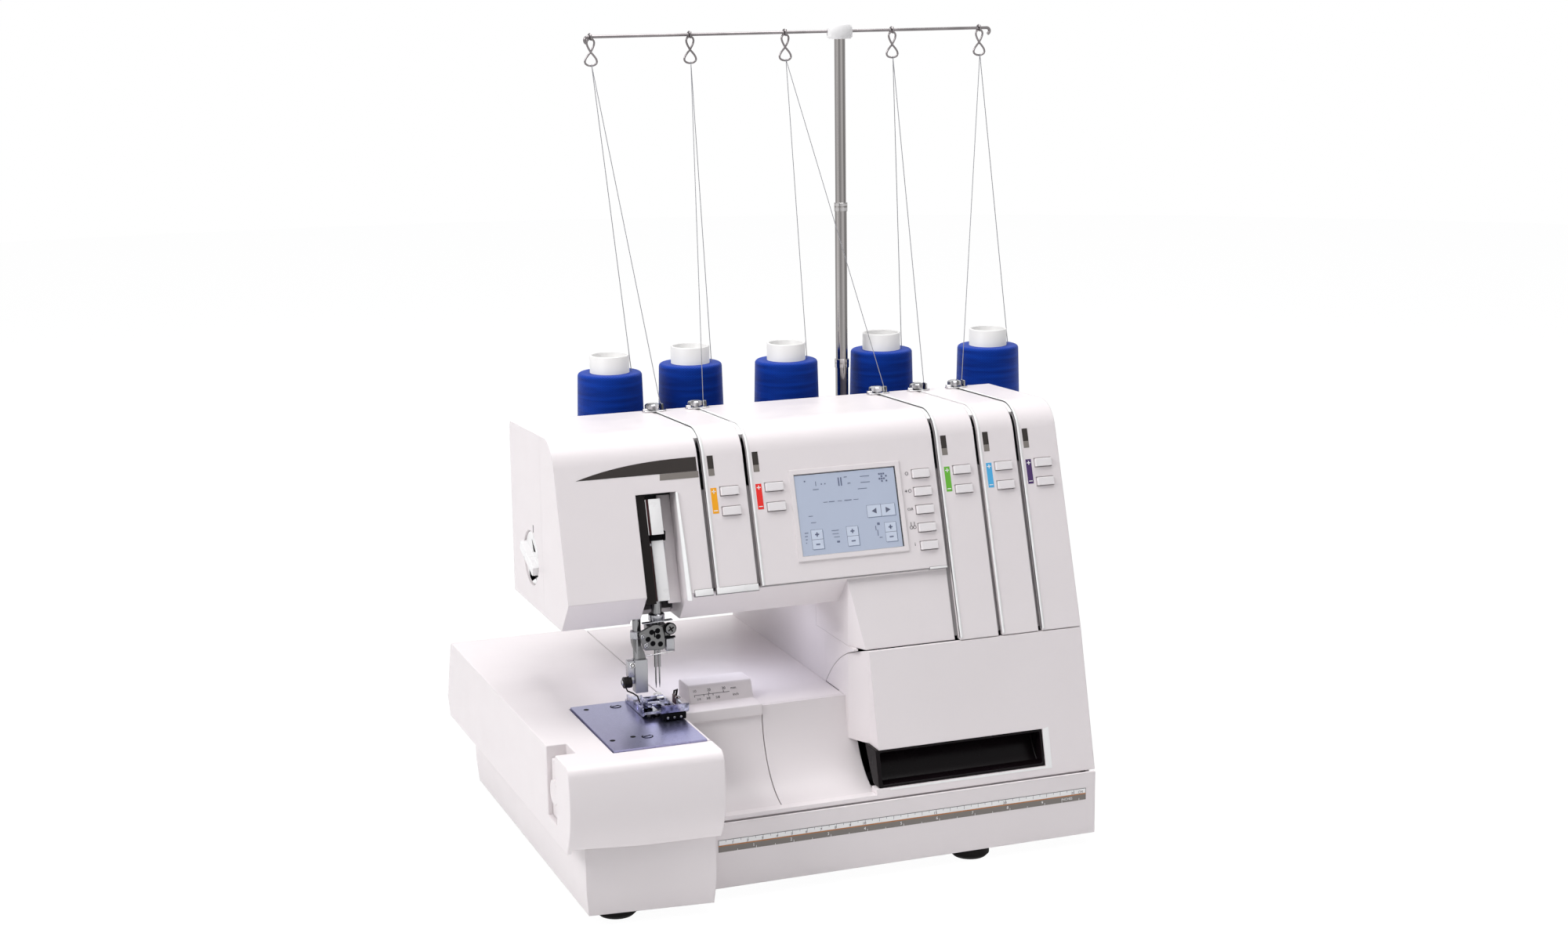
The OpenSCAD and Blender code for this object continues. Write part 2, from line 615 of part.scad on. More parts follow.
module seam_guide() color(white) at_origin() {
    difference() {
        along_x(table_right + gap, guide_right, valley_sheet);
        block([-20, -20, 0], [big, cover_y(ledge_z) + 8 + gap, grip_z - 3.5 + gap]);
        block([-20, bed_front - 6, bed_z - 3], [big, big, big]);
    }
    block([table_right + gap, bed_front - 1.5, bed_z - 6], [guide_right, bed_front, bed_z + 0.3]);
    block([table_right + gap, bed_front - 1.5, bed_z + 0.3], [guide_right, guide_y[1], bed_z + 1.5]);
    along_x(4, guide_right, [[guide_y[0] - 4, bed_z + 1.5], [guide_y[0], guide_top - 1.5], [guide_y[0] + 1.5, guide_top],
        [guide_y[1] - 1.5, guide_top], [guide_y[1], guide_top - 1.5], [guide_y[1], bed_z + 1.5]]);
}

// ---- keys, display, thread path ----
module key() {
    translate([-key_w / 2, -key_h / 2, -4.5]) cube([key_w, key_h, 4.5 + key_out]);
    translate([-key_w / 2 - 1, -key_h / 2 - 1, -5.5 - key_travel]) cube([key_w + 2, key_h + 2, 1]);
    translate([-3, -1.5, -5.5 - key_travel]) cube([6, 3, 2 + key_travel]);
}
module tension_key(i, z) color(white) at_origin() on_face(slot_x[i] + key_from_slot, z) key();
module menu_key(i) color(white) at_origin() on_face(menu_key_x, menu_key_z + (4 - i) * menu_key_step) key();
module display_screen() color([0.72, 0.8, 0.88]) at_origin() on_face(screen_left, screen_z)
    translate([0.1, 0.1, -screen_t]) cube([screen_w - 0.2, screen_h - 0.2, screen_t + 0.4]);
// Tension unit behind each slot: two discs on a spindle with a small drive motor
module tension_units() color(steel) at_origin() for (x = slot_x) translate([x, 0, unit_z]) {
    for (s = [-1, 1]) rod_x(s * 1.6 - 0.6, s * 1.6 + 0.6, unit_y, 0, 9);
    rod_x(-4, 4, unit_y, 0, 2);
    difference() {
        rod_x(3.9, 13, unit_y, 0, 10);
        rod_x(-1, 5, unit_y, 0, 2);
    }
    block([2.4, unit_y - 2, 0], [3.9, unit_y + 2, 10]);
    block([8, unit_y + 8, -3], [11, frame_y, 9]);
}
unit_z = head_top - 62.8;
unit_y = face_y(unit_z) + 22;
top_slope = atan(top_fall / (head_back - 3 - brow_yc));
guide_back = slot_back - 1;
function top_z(y) = head_top - tan(top_slope) * (y - brow_yc);
// Thread guide at the back end of each slot, flat on the sloping top
module top_guides() color(steel) at_origin()
    for (x = slot_x) translate([x + slot_w / 2, guide_back, top_z(guide_back)]) rotate([-top_slope, 0, 0]) {
        block([-8, -4, 0], [8, 4, 1]);
        rod_z(-2, 0, 1, 4, 2.2);
        rod_z(-2, 0, 4, 5.4, 5);
        block([4.5, -3, 1], [5.5, 3, 5]);
    }
guard_z = [[panel_z - 4, panel_z + 32], [panel_z + 36, channel_top - 4.5]];
module guard_plates() color(white) at_origin() for (z = guard_z)
    along_x(channel_x[1] - 9.5, channel_x[1] - 0.1, [[face_y(z[0]) + 20, z[0]], [face_y(z[1]) + 20, z[1]],
        [face_y(z[1]) + 22, z[1]], [face_y(z[0]) + 22, z[0]]]);

// ---- needle bar, foot, knives, loopers ----
clamp_z = [151, 168];
module needle_bar() color(steel) at_origin()
    rod_z(needle_x, needle_y, clamp_z[1] - 3, bar_top, needle_bar_r);
bar_top = 240;
module needle_clamp() color(steel) at_origin() difference() {
    union() {
        block([needle_x - 7.5, needle_y - 5.5, clamp_z[0] + 1.5], [needle_x + 5.5, needle_y + 5.5, clamp_z[1]]);
        rod_y(needle_x + 7, needle_y - 7, needle_y + 2, clamp_z[1] - 5, 3.4);
        block([needle_x + 5, needle_y - 4, clamp_z[0] + 2], [needle_x + 10, needle_y + 2, clamp_z[1] - 3]);
        rod_y(needle_x - 4.8, needle_y - 7.5, needle_y - 5, clamp_z[0] + 9, 2);
        rod_y(needle_x - 3, needle_y - 7.5, needle_y - 5, clamp_z[0] + 4.4, 2);
    }
    for (s = [-1, 1]) rod_z(needle_x + s * needle_gap / 2, needle_y, 0, clamp_z[0] + 9, 1.02);
    rod_z(needle_x, needle_y, clamp_z[1] - 3, big, needle_bar_r);
}
module needles() color(steel) at_origin() for (s = [-1, 1]) translate([needle_x + s * needle_gap / 2, needle_y, 0]) {
    rod_z(0, 0, needle_tip + 14, clamp_z[0] + 9, 1);
    rod_z(0, 0, needle_tip + 4, needle_tip + 14, 0.55);
    translate([0, 0, needle_tip]) cylinder(r1 = 0.15, r2 = 0.55, h = 4);
}
module presser_bar() color(steel) at_origin() rod_z(presser_x, needle_y, ankle_z, bar_top - 8, presser_r);
ankle_z = 138;
foot_z = bed_z + plate_rise + 0.3;
module presser_foot() color(steel) at_origin() {
    difference() {
        union() {
            block([presser_x - 4.5, needle_y - 4.5, foot_z + 8], [presser_x + 4, needle_y + 4.5, ankle_z + 12]);
            rod_x(presser_x - 7, presser_x - 4.5, needle_y, ankle_z + 4, 2.6);
            rod_x(presser_x - 7, presser_x - 4.5, needle_y, foot_z + 14, 2.6);
        }
        rod_z(presser_x, needle_y, ankle_z, big, presser_r);
    }
    difference() {
        union() {
            hull() {
                block([presser_x - 1, needle_y - 26, foot_z + 1.2], [plate_right + 0.5, needle_y - 25, foot_z + 2.4]);
                block([presser_x - 1, needle_y - 16, foot_z], [plate_right - 0.5, needle_y - 15, foot_z + 2.4]);
            }
            block([presser_x - 1, needle_y - 15.5, foot_z], [plate_right - 0.5, needle_y + 24, foot_z + 2.4]);
            block([presser_x - 4.5, needle_y - 4.5, foot_z + 2.4], [presser_x + 4, needle_y + 14, foot_z + 8]);
            block([presser_x, needle_y - 12, foot_z + 2], [presser_x + 3, needle_y + 22, foot_z + 5]);
        }
        block([needle_x - 3.4, needle_y - 3.4, 0], [needle_x + 3.4, needle_y + 3.4, foot_z + 4]);
    }
}
lever_x = -52;
lever_z = 190;
lever_pin_r = 2.5;
module foot_lever() color(dark) at_origin() {
    block([lever_x - 4.5, head_back - 22, lever_z - 3], [lever_x + 4.5, head_back + 20, lever_z + 3]);
    block([lever_x - 7, head_back + 20, lever_z - 6], [lever_x + 7, head_back + 26, lever_z + 3]);
    rod_x(lever_x - 9, lever_x + 9, lever_pin_y, lever_z, lever_pin_r);
}
lever_pin_y = head_back - 14;
module feed_dogs() color(steel) at_origin() {
    for (x = dog_x) along_x(x - dog_w / 2, x + dog_w / 2, concat(
        [[needle_y + dog_y[0], bed_z - 7]],
        [for (i = [0:11], t = [0, 1]) [needle_y + dog_y[0] + i * 2.5 + t * 2.4, bed_z + plate_rise - t * 0.9]],
        [[needle_y + dog_y[1], bed_z - 7]]));
    block([dog_x[0] - dog_w / 2, needle_y + 8, bed_z - 11], [dog_x[2] + dog_w / 2, needle_y + dog_y[1], bed_z - 7]);
    block([dog_x[1] - 3, needle_y + 8, frame_low + beam_h + gap], [dog_x[1] + 3, needle_y + 14, bed_z - 11]);
}
module lower_knife() color(steel) at_origin() difference() {
    block([plate_right - 2, needle_y - 14.5, bed_z - 12], [plate_right + 0.3, needle_y + 1.5, bed_z + plate_rise]);
    rod_x(plate_right - 3, plate_right + 1, needle_y - 6, bed_z - 8, 1.6);
}
module upper_knife() color(steel) at_origin() {
    along_x(plate_right + 0.6, plate_right + 2.6, [[needle_y - 13, bed_z - 4], [needle_y - 13, bed_z + 14],
        [needle_y + knife_y[1], bed_z + 14], [needle_y + knife_y[1], bed_z + 3], [needle_y - 4, bed_z - 4]]);
    block([plate_right + 0.6, needle_y - 12, bed_z + 8], [plate_right + 2.9, needle_y - 2, bed_z + 16]);
    block([plate_right + 0.6, needle_y + knife_y[0], frame_low + 8], [plate_right + 2.9, needle_y - 11, bed_z + 9]);
}
looper_pivot = [22, 62];
// A looper is a rocking arm with a curved blade that reaches under the needle plate
module looper(y, reach, height) difference() {
    union() {
        rod_y(looper_pivot[0], y - 3, y + 3, looper_pivot[1], 6);
        along_y(y - 2, y + 2, [[looper_pivot[0] - 3, looper_pivot[1]], [looper_pivot[0] + 3, looper_pivot[1]],
            [looper_pivot[0] + 2, looper_pivot[1] + height - 6], [looper_pivot[0] - reach * 0.5, looper_pivot[1] + height],
            [looper_pivot[0] - reach, looper_pivot[1] + height - 2.5], [looper_pivot[0] - reach * 0.5, looper_pivot[1] + height - 3.5],
            [looper_pivot[0] - 3, looper_pivot[1] + height - 11]]);
    }
    rod_y(looper_pivot[0], y - 4, y + 4, looper_pivot[1], looper_pin_r + run_gap);
}
looper_pin_r = 3;
module lower_looper() color(steel) at_origin() looper(needle_y - 6, 34, 33);
module upper_looper() color(steel) at_origin() looper(needle_y + 2.4, 25, 40);

// ---- frame, drive ----
frame_y = 112;
frame_z = 24;
frame_low = 60;
beam_h = 22;
// Top beam, spine and floor of the frame, tied to the casing that they carry
beam_top = head_top - 26.8;
beam_low = beam_top - 30;
spine_x = [pillar_left + 79, head_right - 32];
frame_x = [20, head_right - 22];
frame_back = head_back + 24;
boss_places = [[30, 120], [30, 185], [235, 120], [235, 185]];
module frame_casting() color([0.5, 0.5, 0.52]) at_origin() difference() {
    union() {
        block([frame_x[0], frame_y, frame_z], [frame_x[1], frame_back, frame_z + 6]);
        block([spine_x[0], frame_y, frame_z + 6], [spine_x[1], frame_y + 22, beam_top]);
        block([head_left + 8, frame_y, beam_low], [head_right - 12, frame_y + 22, beam_top]);
        block([frame_x[0], frame_y, frame_z + 6], [looper_pivot[0] + 38, frame_y + 10, bed_z - 9.4]);
        block([arm_left + 8, arm_back - 18, frame_low + 4], [looper_pivot[0] + 38, arm_back - wall - 1, frame_low + beam_h]);
        block([looper_pivot[0] - 8, arm_back - 18, frame_low - 4], [looper_pivot[0] + 38, frame_y + 1, frame_low + beam_h]);
        // bearings of the main shaft
        for (x = [40, 180]) block([x, shaft_y - 14, frame_z + 5], [x + 14, shaft_y + 14, shaft_z + 12]);
        // guides of the needle bar and of the presser bar
        for (z = guide_z) block([presser_x - 7, needle_y - 7, z], [channel_x[1] - 9.8, frame_y + 1, z + 7]);
        block([presser_x - 7, frame_y, guide_z[0]], [channel_x[1] - 9.8, frame_y + 8, beam_low + 1]);
        // guide of the upper knife's post, and the holder of the lower knife
        block([plate_right - 5, needle_y - 10.7, frame_low + 4], [plate_right + 2.6, arm_back - 17, frame_low + 16]);
        block([plate_right - 5, needle_y - 14.5, frame_low + 4], [plate_right + 0.3, needle_y - 9, bed_z - 12]);
        block([plate_right - 5, needle_y - 14.5, bed_z - 13], [plate_right - 2, needle_y - 9, bed_z - 8]);
        // looper pin
        rod_y(looper_pivot[0], needle_y - 14, arm_back - 17, looper_pivot[1], looper_pin_r);
        // ears of the foot lever
        for (s = [-1, 1]) block([lever_x + s * 7.5 - 2, frame_y + 20, lever_z - 6], [lever_x + s * 7.5 + 2, lever_pin_y + 5, lever_z + 6]);
        block([lever_x - 9.5, frame_y + 4, lever_z - 6], [lever_x + 9.5, frame_y + 21, lever_z + 6]);
        block([lever_x - 9.5, frame_y + 4, lever_z], [lever_x + 9.5, frame_y + 12, beam_low + 1]);
        block([motor_x0 + 8, shaft_y + motor_back - 12, frame_z], [motor_x0 + 16, shaft_y + motor_back + 12, shaft_z - motor_r - 0.1]);
        block([motor_x0 + 8, frame_back - 6, frame_z], [motor_x0 + 16, shaft_y + motor_back + 12, frame_z + 6]);
    }
    rod_x(0, big, shaft_y, shaft_z, shaft_r + run_gap);
    rod_z(needle_x, needle_y, 0, big, needle_bar_r + run_gap);
    rod_z(presser_x, needle_y, 0, big, presser_r + run_gap);
    rod_x(lever_x - 9.4, lever_x + 9.4, lever_pin_y, lever_z, lever_pin_r + run_gap);
}
guide_z = [192, 215];
pulley_x = head_right - 23;
motor_l = 78;
motor_x0 = pulley_x - motor_l - 16;
motor_r = 19.5;
motor_hub_r = 9;
module main_shaft() color(steel) at_origin() {
    rod_x(30, head_right + 4 + wheel_w - 6, shaft_y, shaft_z, shaft_r);
    difference() {
        rod_x(pulley_x, pulley_x + 8, shaft_y, shaft_z, pulley_r + 3);
        difference() {
            rod_x(pulley_x + 1.5, pulley_x + 6.5, shaft_y, shaft_z, pulley_r + 4);
            rod_x(pulley_x + 1, pulley_x + 7, shaft_y, shaft_z, pulley_r);
        }
        rod_x(pulley_x - 1, pulley_x + 9, shaft_y, shaft_z, shaft_r);
    }
    for (x = [70, 100, 130]) difference() {
        rod_x(x, x + 8, shaft_y + 4, shaft_z, 14);
        rod_x(x - 1, x + 9, shaft_y, shaft_z, shaft_r);
    }
}
module handwheel() color(white) at_origin() difference() {
    rod_x(head_right + 1, head_right + 1 + wheel_w, shaft_y, shaft_z, wheel_r);
    rod_x(0, big, shaft_y, shaft_z, shaft_r);
    for (i = [0:23]) rotate_about_shaft(i * 15)
        rod_x(head_right + 5, head_right + 2 + wheel_w, shaft_y + wheel_r + 0.8, shaft_z, 2);
    difference() {
        rod_x(head_right + wheel_w - 3, big, shaft_y, shaft_z, wheel_r - 5);
        rod_x(0, big, shaft_y, shaft_z, 12);
    }
}
module rotate_about_shaft(a) translate([0, shaft_y, shaft_z]) rotate([a, 0, 0]) translate([0, -shaft_y, -shaft_z]) children();
motor_y = shaft_y + motor_back;
module motor() color(dark) at_origin() difference() {
    union() {
        rod_x(motor_x0, motor_x0 + motor_l, motor_y, shaft_z, motor_r);
        rod_x(motor_x0 - 4, motor_x0 + motor_l + 4, motor_y, shaft_z, motor_hub_r);
    }
    rod_x(0, big, motor_y, shaft_z, 3 + run_gap);
}
module motor_pulley() color(steel) at_origin() {
    rod_x(motor_x0 - 6, pulley_x + 9, motor_y, shaft_z, 3);
    difference() {
        rod_x(pulley_x, pulley_x + 8, motor_y, shaft_z, motor_pulley_r + 2);
        difference() {
            rod_x(pulley_x + 1.5, pulley_x + 6.5, motor_y, shaft_z, motor_pulley_r + 3);
            rod_x(pulley_x + 1, pulley_x + 7, motor_y, shaft_z, motor_pulley_r);
        }
        rod_x(0, big, motor_y, shaft_z, 3);
    }
}
// The belt's straight runs are tangent to both pulleys
belt_lean = asin((pulley_r - motor_pulley_r) / motor_back);
function belt_outline(grow) = concat(
    arc(shaft_y, shaft_z, pulley_r + grow, 90 - belt_lean, 270 + belt_lean, 24),
    arc(motor_y, shaft_z, motor_pulley_r + grow, belt_lean - 90, 90 - belt_lean, 12));
module drive_belt() color(dark) at_origin() difference() {
    along_x(pulley_x + 2, pulley_x + 6, belt_outline(2));
    along_x(pulley_x, pulley_x + 8, belt_outline(0.3));
}
module pressure_dial() color(white) at_origin() {
    rod_x(head_left + 1, head_left + 5.4, dial_y, dial_z, dial_r - 0.5);
    rod_x(head_left + 5, head_left + 18, dial_y, dial_z, 4);
    translate([0, dial_y, dial_z]) rotate([22, 0, 0]) block([head_left - 3.5, -dial_r + 2, -3.2], [head_left + 1.1, dial_r - 2, 3.2]);
}
switch_y = base_back - 65;
switch_z = 66;
switch_l = 20;
switch_h = 13;
inlet_y = base_back - 30;
module power_switch() color(dark) at_origin() difference() {
    along_z(switch_z - switch_h / 2 + gap, switch_z + switch_h / 2 - gap, [
        [head_right + 2, switch_y - switch_l / 2 + 2.4], [head_right + 0.5, switch_y],
        [head_right + 0.5, switch_y + switch_l / 2 - 2.4], [head_right - 4.5, switch_y + switch_l / 2 - 2.4],
        [head_right - 9, switch_y + 4], [head_right - 9, switch_y - 4], [head_right - 4.5, switch_y - switch_l / 2 + 2.4]]);
    rod_z(head_right - 6, switch_y, 0, big, 1.5 + run_gap);
}
module power_inlet() color(dark) at_origin() {
    difference() {
        block([head_right - wall - 14, inlet_y - 14 + gap, switch_z - 9 + gap], [head_right + 0.8, inlet_y + 14 - gap, switch_z + 9 - gap]);
        block([head_right - wall - 11, inlet_y - 10.5, switch_z - 6], [head_right + 1, inlet_y + 10.5, switch_z + 6]);
    }
    for (y = [-6, 6]) block([head_right - wall - 12, inlet_y + y - 1.2, switch_z - 2.5], [head_right - 2, inlet_y + y + 1.2, switch_z + 2.5]);
    // frame of the switch beside it, with the switch's pin
    for (s = [-1, 1]) block([head_right - 8, switch_y - 3, switch_z + s * (switch_h / 2 + 1) - 1],
        [head_right - wall, switch_y + 3, switch_z + s * (switch_h / 2 + 1) + 1]);
    rod_z(head_right - 6, switch_y, switch_z - switch_h / 2 - 1, switch_z + switch_h / 2 + 1, 1.5);
}

// ---- spools and stand ----
function spool_row(i) = row_y + (i % 2) * row_step;
thread_low = tray_top + 3 + core_out;
core_top = thread_top + core_out;
core_wall = 1.6;
tray_t = 6;
tray_cut = 6;
tray_back = row_y + row_step + 28;
module spool_tray() color(white) at_origin() difference() {
    union() {
        along_z(tray_top - tray_t, tray_top, [[tray_left, head_back + gap], [tray_right, head_back + gap],
            [tray_right, tray_back - tray_cut], [tray_right - tray_cut, tray_back],
            [tray_left + tray_cut, tray_back], [tray_left, tray_back - tray_cut]]);
        for (x = [tray_left + 10, 40, 90]) along_x(x, x + 4, [[head_back + gap, rear_top - 20],
            [head_back + gap, tray_top - tray_t + 1], [tray_back - 10, tray_top - tray_t + 1]]);
        block([pillar_left + 4, head_back + 4, rear_top], [head_right - 4, tray_back - 4, tray_top - tray_t + 1]);
        for (i = [0:4]) rod_z(spool_x[i], spool_row(i), tray_top - 1, tray_top + 3, thread_r - 1);
    }
    for (i = [0:4]) rod_z(spool_x[i], spool_row(i), tray_top - 4, big, pin_r);
    rod_z(pole_x, pole_y, 0, big, pole_r[0] + bore_gap);
}
pin_r = 3;
pin_h = 78;
cone_h = 34;
// Each pin carries a ribbed cone that centres the spool's core
module spool_pins() color(steel) at_origin() for (i = [0:4]) translate([spool_x[i], spool_row(i), 0]) {
    rod_z(0, 0, tray_top - 4, tray_top + pin_h, pin_r);
    translate([0, 0, tray_top + 3]) difference() {
        cylinder(r1 = core_r - core_wall - 0.6, r2 = pin_r + 1.5, h = cone_h);
        translate([0, 0, -1]) cylinder(r = pin_r, h = cone_h + 6);
    }
}
module spool_cores() color(white) at_origin() for (i = [0:4]) translate([spool_x[i], spool_row(i), 0]) difference() {
    rod_z(0, 0, tray_top + 3, core_top, core_r);
    rod_z(0, 0, tray_top + 2, core_top + 1, core_r - core_wall);
}
module thread_packages() color([0.12, 0.28, 0.68]) at_origin() for (i = [0:4]) translate([spool_x[i], spool_row(i), thread_low])
    rotate_extrude() polygon([[core_r, 0], [thread_r + thread_taper - 1, 0], [thread_r + thread_taper, 1],
        [thread_r, thread_top - thread_low - 1], [thread_r - 1, thread_top - thread_low], [core_r, thread_top - thread_low]]);
// Length that stays in the stage below, and the foot of the lowest stage in the rear housing
stage_lap = 20;
pole_low = stage_z[0] - stage_lap - stage_travel - 5;
ring_h = 6;
module pole_tube(z0, z1, r, bore_r) difference() {
    union() {
        rod_z(pole_x, pole_y, z0, z1, r);
        children();
    }
    rod_z(pole_x, pole_y, z0 + 2, z1 + 1, bore_r);
}
bore_gap = 0.05;
module pole_lower() color(steel) at_origin() pole_tube(pole_low, stage_z[0], pole_r[0], pole_r[1] + bore_gap)
    rod_z(pole_x, pole_y, stage_z[0] - ring_h, stage_z[0], pole_r[0] + 0.5);
module pole_middle() color(steel) at_origin() pole_tube(stage_z[0] - stage_lap, stage_z[1], pole_r[1], pole_r[2] + bore_gap)
    rod_z(pole_x, pole_y, stage_z[1] - ring_h, stage_z[1], pole_r[1] + 0.5);
module pole_upper() color(steel) at_origin()
    rod_z(pole_x, pole_y, stage_z[1] - stage_lap, bar_z - 4, pole_r[2]);
// The bar of bent wire with its cap, and the five figure-eight hooks
hook_loop = 3.2;
hook_wire_r = 0.8;
link_r = 0.65;
loop_z = bar_z - 14.1;
module ring(r) rotate_extrude($fn = 32) translate([r, 0]) circle(r = hook_wire_r, $fn = 16);
module hook_bar() color(steel) at_origin() {
    rod_x(bar_left, bar_right, pole_y, bar_z, wire_r);
    for (x = [bar_left + 1.5, bar_right - 1.5]) rod_z(x, pole_y, bar_z - 5, bar_z, wire_r - 0.1);
    difference() {
        block([pole_x - 9, pole_y - 5, bar_z - 5], [pole_x + 9, pole_y + 5, bar_z + 5.5]);
        rod_z(pole_x, pole_y, bar_z - 6, bar_z - 4 + eps, pole_r[2]);
        rod_x(0, big, pole_y, bar_z, wire_r);
    }
    for (x = hook_x) translate([x, pole_y, 0]) {
        translate([0, 0, bar_z]) rotate([0, 90, 0]) ring(wire_r + hook_wire_r + 0.15);
        translate([0, 0, loop_z]) rotate([90, 0, 0]) ring(hook_loop + hook_wire_r);
        rod_z(0, 0, loop_z + hook_loop + hook_wire_r, bar_z - wire_r - hook_wire_r - 0.15, link_r);
    }
}
bar_left = -10;
bar_right = 288;
// Each thread rises from its spool to its hook and falls to the guide at its slot
module line(a, b) {
    d = b - a;
    translate(a) rotate([0, acos(d[2] / norm(d)), atan2(d[1], d[0])]) cylinder(r = thread_line_r, h = norm(d), $fn = 6);
}
module threads() color([0.75, 0.75, 0.76]) at_origin() for (i = [0:4]) {
    eye = [hook_x[i], pole_y - hook_wire_r - thread_line_r - 0.1, loop_z - hook_loop - hook_wire_r];
    line([spool_x[i] + core_r + 1, spool_row(i) - 3, thread_top + 0.4], eye);
    line([slot_x[i] + slot_w / 2 + 4, guide_back, top_z(guide_back) + 5.4], eye);
}

base_tray();
rubber_feet();
extension_table();
release_button();
free_arm();
needle_plate();
bed_cover();
looper_cover();
grip_insert();
seam_guide();
front_casing();
rear_casing();
frame_casting();
display_screen();
for (i = [0:4]) {
    menu_key(i);
    tension_key(i, tension_key_z[0]);
    tension_key(i, tension_key_z[1]);
}
tension_units();
top_guides();
guard_plates();
needle_bar();
needle_clamp();
needles();
presser_bar();
presser_foot();
foot_lever();
feed_dogs();
upper_knife();
lower_knife();
upper_looper();
lower_looper();
pressure_dial();
handwheel();
main_shaft();
motor();
motor_pulley();
drive_belt();
power_switch();
power_inlet();
spool_tray();
spool_pins();
spool_cores();
thread_packages();
pole_lower();
pole_middle();
pole_upper();
hook_bar();
threads();
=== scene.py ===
"""Looks of the overlock machine. Lengths are in mm from the ruler's zero mark, as in the part's source."""
from math import atan, atan2, cos, degrees, radians, sin, tan, tau

import bmesh
import bpy
from bmesh import ops
from mathutils import Matrix, Vector


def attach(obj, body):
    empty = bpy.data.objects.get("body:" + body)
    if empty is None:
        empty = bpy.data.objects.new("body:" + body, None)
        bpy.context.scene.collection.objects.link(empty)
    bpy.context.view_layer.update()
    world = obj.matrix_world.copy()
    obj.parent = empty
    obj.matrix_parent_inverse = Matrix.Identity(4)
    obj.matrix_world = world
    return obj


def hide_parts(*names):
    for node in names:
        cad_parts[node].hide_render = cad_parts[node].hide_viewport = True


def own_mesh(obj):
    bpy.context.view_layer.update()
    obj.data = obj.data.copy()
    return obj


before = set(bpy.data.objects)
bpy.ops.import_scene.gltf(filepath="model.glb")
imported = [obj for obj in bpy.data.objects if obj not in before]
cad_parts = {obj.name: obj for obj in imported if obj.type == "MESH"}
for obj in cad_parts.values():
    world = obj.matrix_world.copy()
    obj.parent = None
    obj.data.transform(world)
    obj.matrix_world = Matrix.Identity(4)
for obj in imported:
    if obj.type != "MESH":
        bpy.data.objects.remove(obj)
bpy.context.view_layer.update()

# ---- places and sizes of the machine, in mm ----
MM = 0.001
MID_X, MID_Y = 104.0, 127.5
FACE_LEAN, COVER_LEAN = 17.5, 13.8
SEAM_Y, SEAM_Z = 25.5, 144.2
BED_Z = 109.4
HEAD_LEFT = -81.5
SLOTS = (14.6, 45.1, 177.5, 208.0, 237.2)
PANEL_Z = 191.0
NEEDLE_X, NEEDLE_Y = -17.7, 62.0
PRESSER_X = -31.2
PLATE_TOP = BED_Z + 1.1
SPOOLS = ((-1.0, 207.0), (62.2, 222.0), (128.1, 207.0), (207.0, 222.0), (284.3, 207.0))
TRAY_TOP, THREAD_TOP = 214.0, 307.0
THREAD_R, THREAD_TAPER, CORE_R, CORE_OUT = 22.0, 1.9, 13.5, 12.0
POLE = (173.5, 215.0)
BAR_Z, BAR_ENDS = 532.5, (-10.0, 288.0)
HOOKS = (-6.0, 64.0, 133.0, 213.0, 280.0)
GUIDE_Y, GUIDE_Z = 162.0, 286.0
PROUD = 0.12


def face_y(z):
    """How far back the leaning front panel is at a height."""
    return SEAM_Y + tan(radians(FACE_LEAN)) * (z - SEAM_Z)


def cover_y(z):
    """How far back the looper cover's front is at a height."""
    return SEAM_Y + tan(radians(COVER_LEAN)) * (z - SEAM_Z)


# ---- placing ----
def turned(degrees, axis="X"):
    return Matrix.Rotation(radians(degrees), 4, axis)


def place(x, y, z, turn=None):
    """Placement whose local millimetres start at a point of the machine."""
    start = Matrix.Translation(Vector((x - MID_X, y - MID_Y, z)) * MM)
    return start @ (turn or Matrix.Identity(4)) @ Matrix.Scale(MM, 4)


def on_face(x, z, out=0.0):
    """Local X along the machine, Y up the leaning panel, Z out of it."""
    return place(x, face_y(z), z, turned(90 - FACE_LEAN)) @ Matrix.Translation((0, 0, out))


def on_cover(x, z):
    return place(x, cover_y(z), z, turned(90 - COVER_LEAN))


def at_front(x, y, z):
    """Local X along the machine, Y up, Z towards the front."""
    return place(x, y, z, turned(90))


def on_base(x, z, out=0.0):
    return at_front(x, -out, z)


def on_left(y, z, out=0.0):
    """Local X runs forward, Y up and Z out of the left face."""
    axes = Matrix(((0, 0, -1, 0), (-1, 0, 0, 0), (0, 1, 0, 0), (0, 0, 0, 1)))
    return place(HEAD_LEFT, y, z, axes) @ Matrix.Translation((0, 0, out))


def up_face(dz):
    """The length up the leaning panel of a rise."""
    return dz / cos(radians(FACE_LEAN))


# ---- materials ----
def nodes_of(name):
    """A new material with its node tree and its main shader."""
    material = bpy.data.materials.new(name)
    material.use_nodes = True
    tree = material.node_tree
    return material, tree, tree.nodes["Principled BSDF"]


def link(source, output, target, socket):
    source.id_data.links.new(source.outputs[output], target.inputs[socket])


def fill(node, **inputs):
    """Sets inputs of a node; an underscore in a name stands for a space."""
    for name, value in inputs.items():
        node.inputs[name.replace("_", " ")].default_value = value


def shading(tree, kind, **inputs):
    """A new shader node of a kind, with some of its inputs set."""
    node = tree.nodes.new("ShaderNode" + kind)
    fill(node, **inputs)
    return node


def noise(tree, scale, detail, stretch=None):
    """Noise in the object's own coordinates, whose unit is the metre."""
    coords, output = shading(tree, "TexCoord"), "Object"
    texture = shading(tree, "TexNoise", Scale=scale, Detail=detail)
    if stretch:
        mapping = shading(tree, "Mapping", Scale=stretch)
        link(coords, output, mapping, "Vector")
        coords, output = mapping, "Vector"
    link(coords, output, texture, "Vector")
    return texture


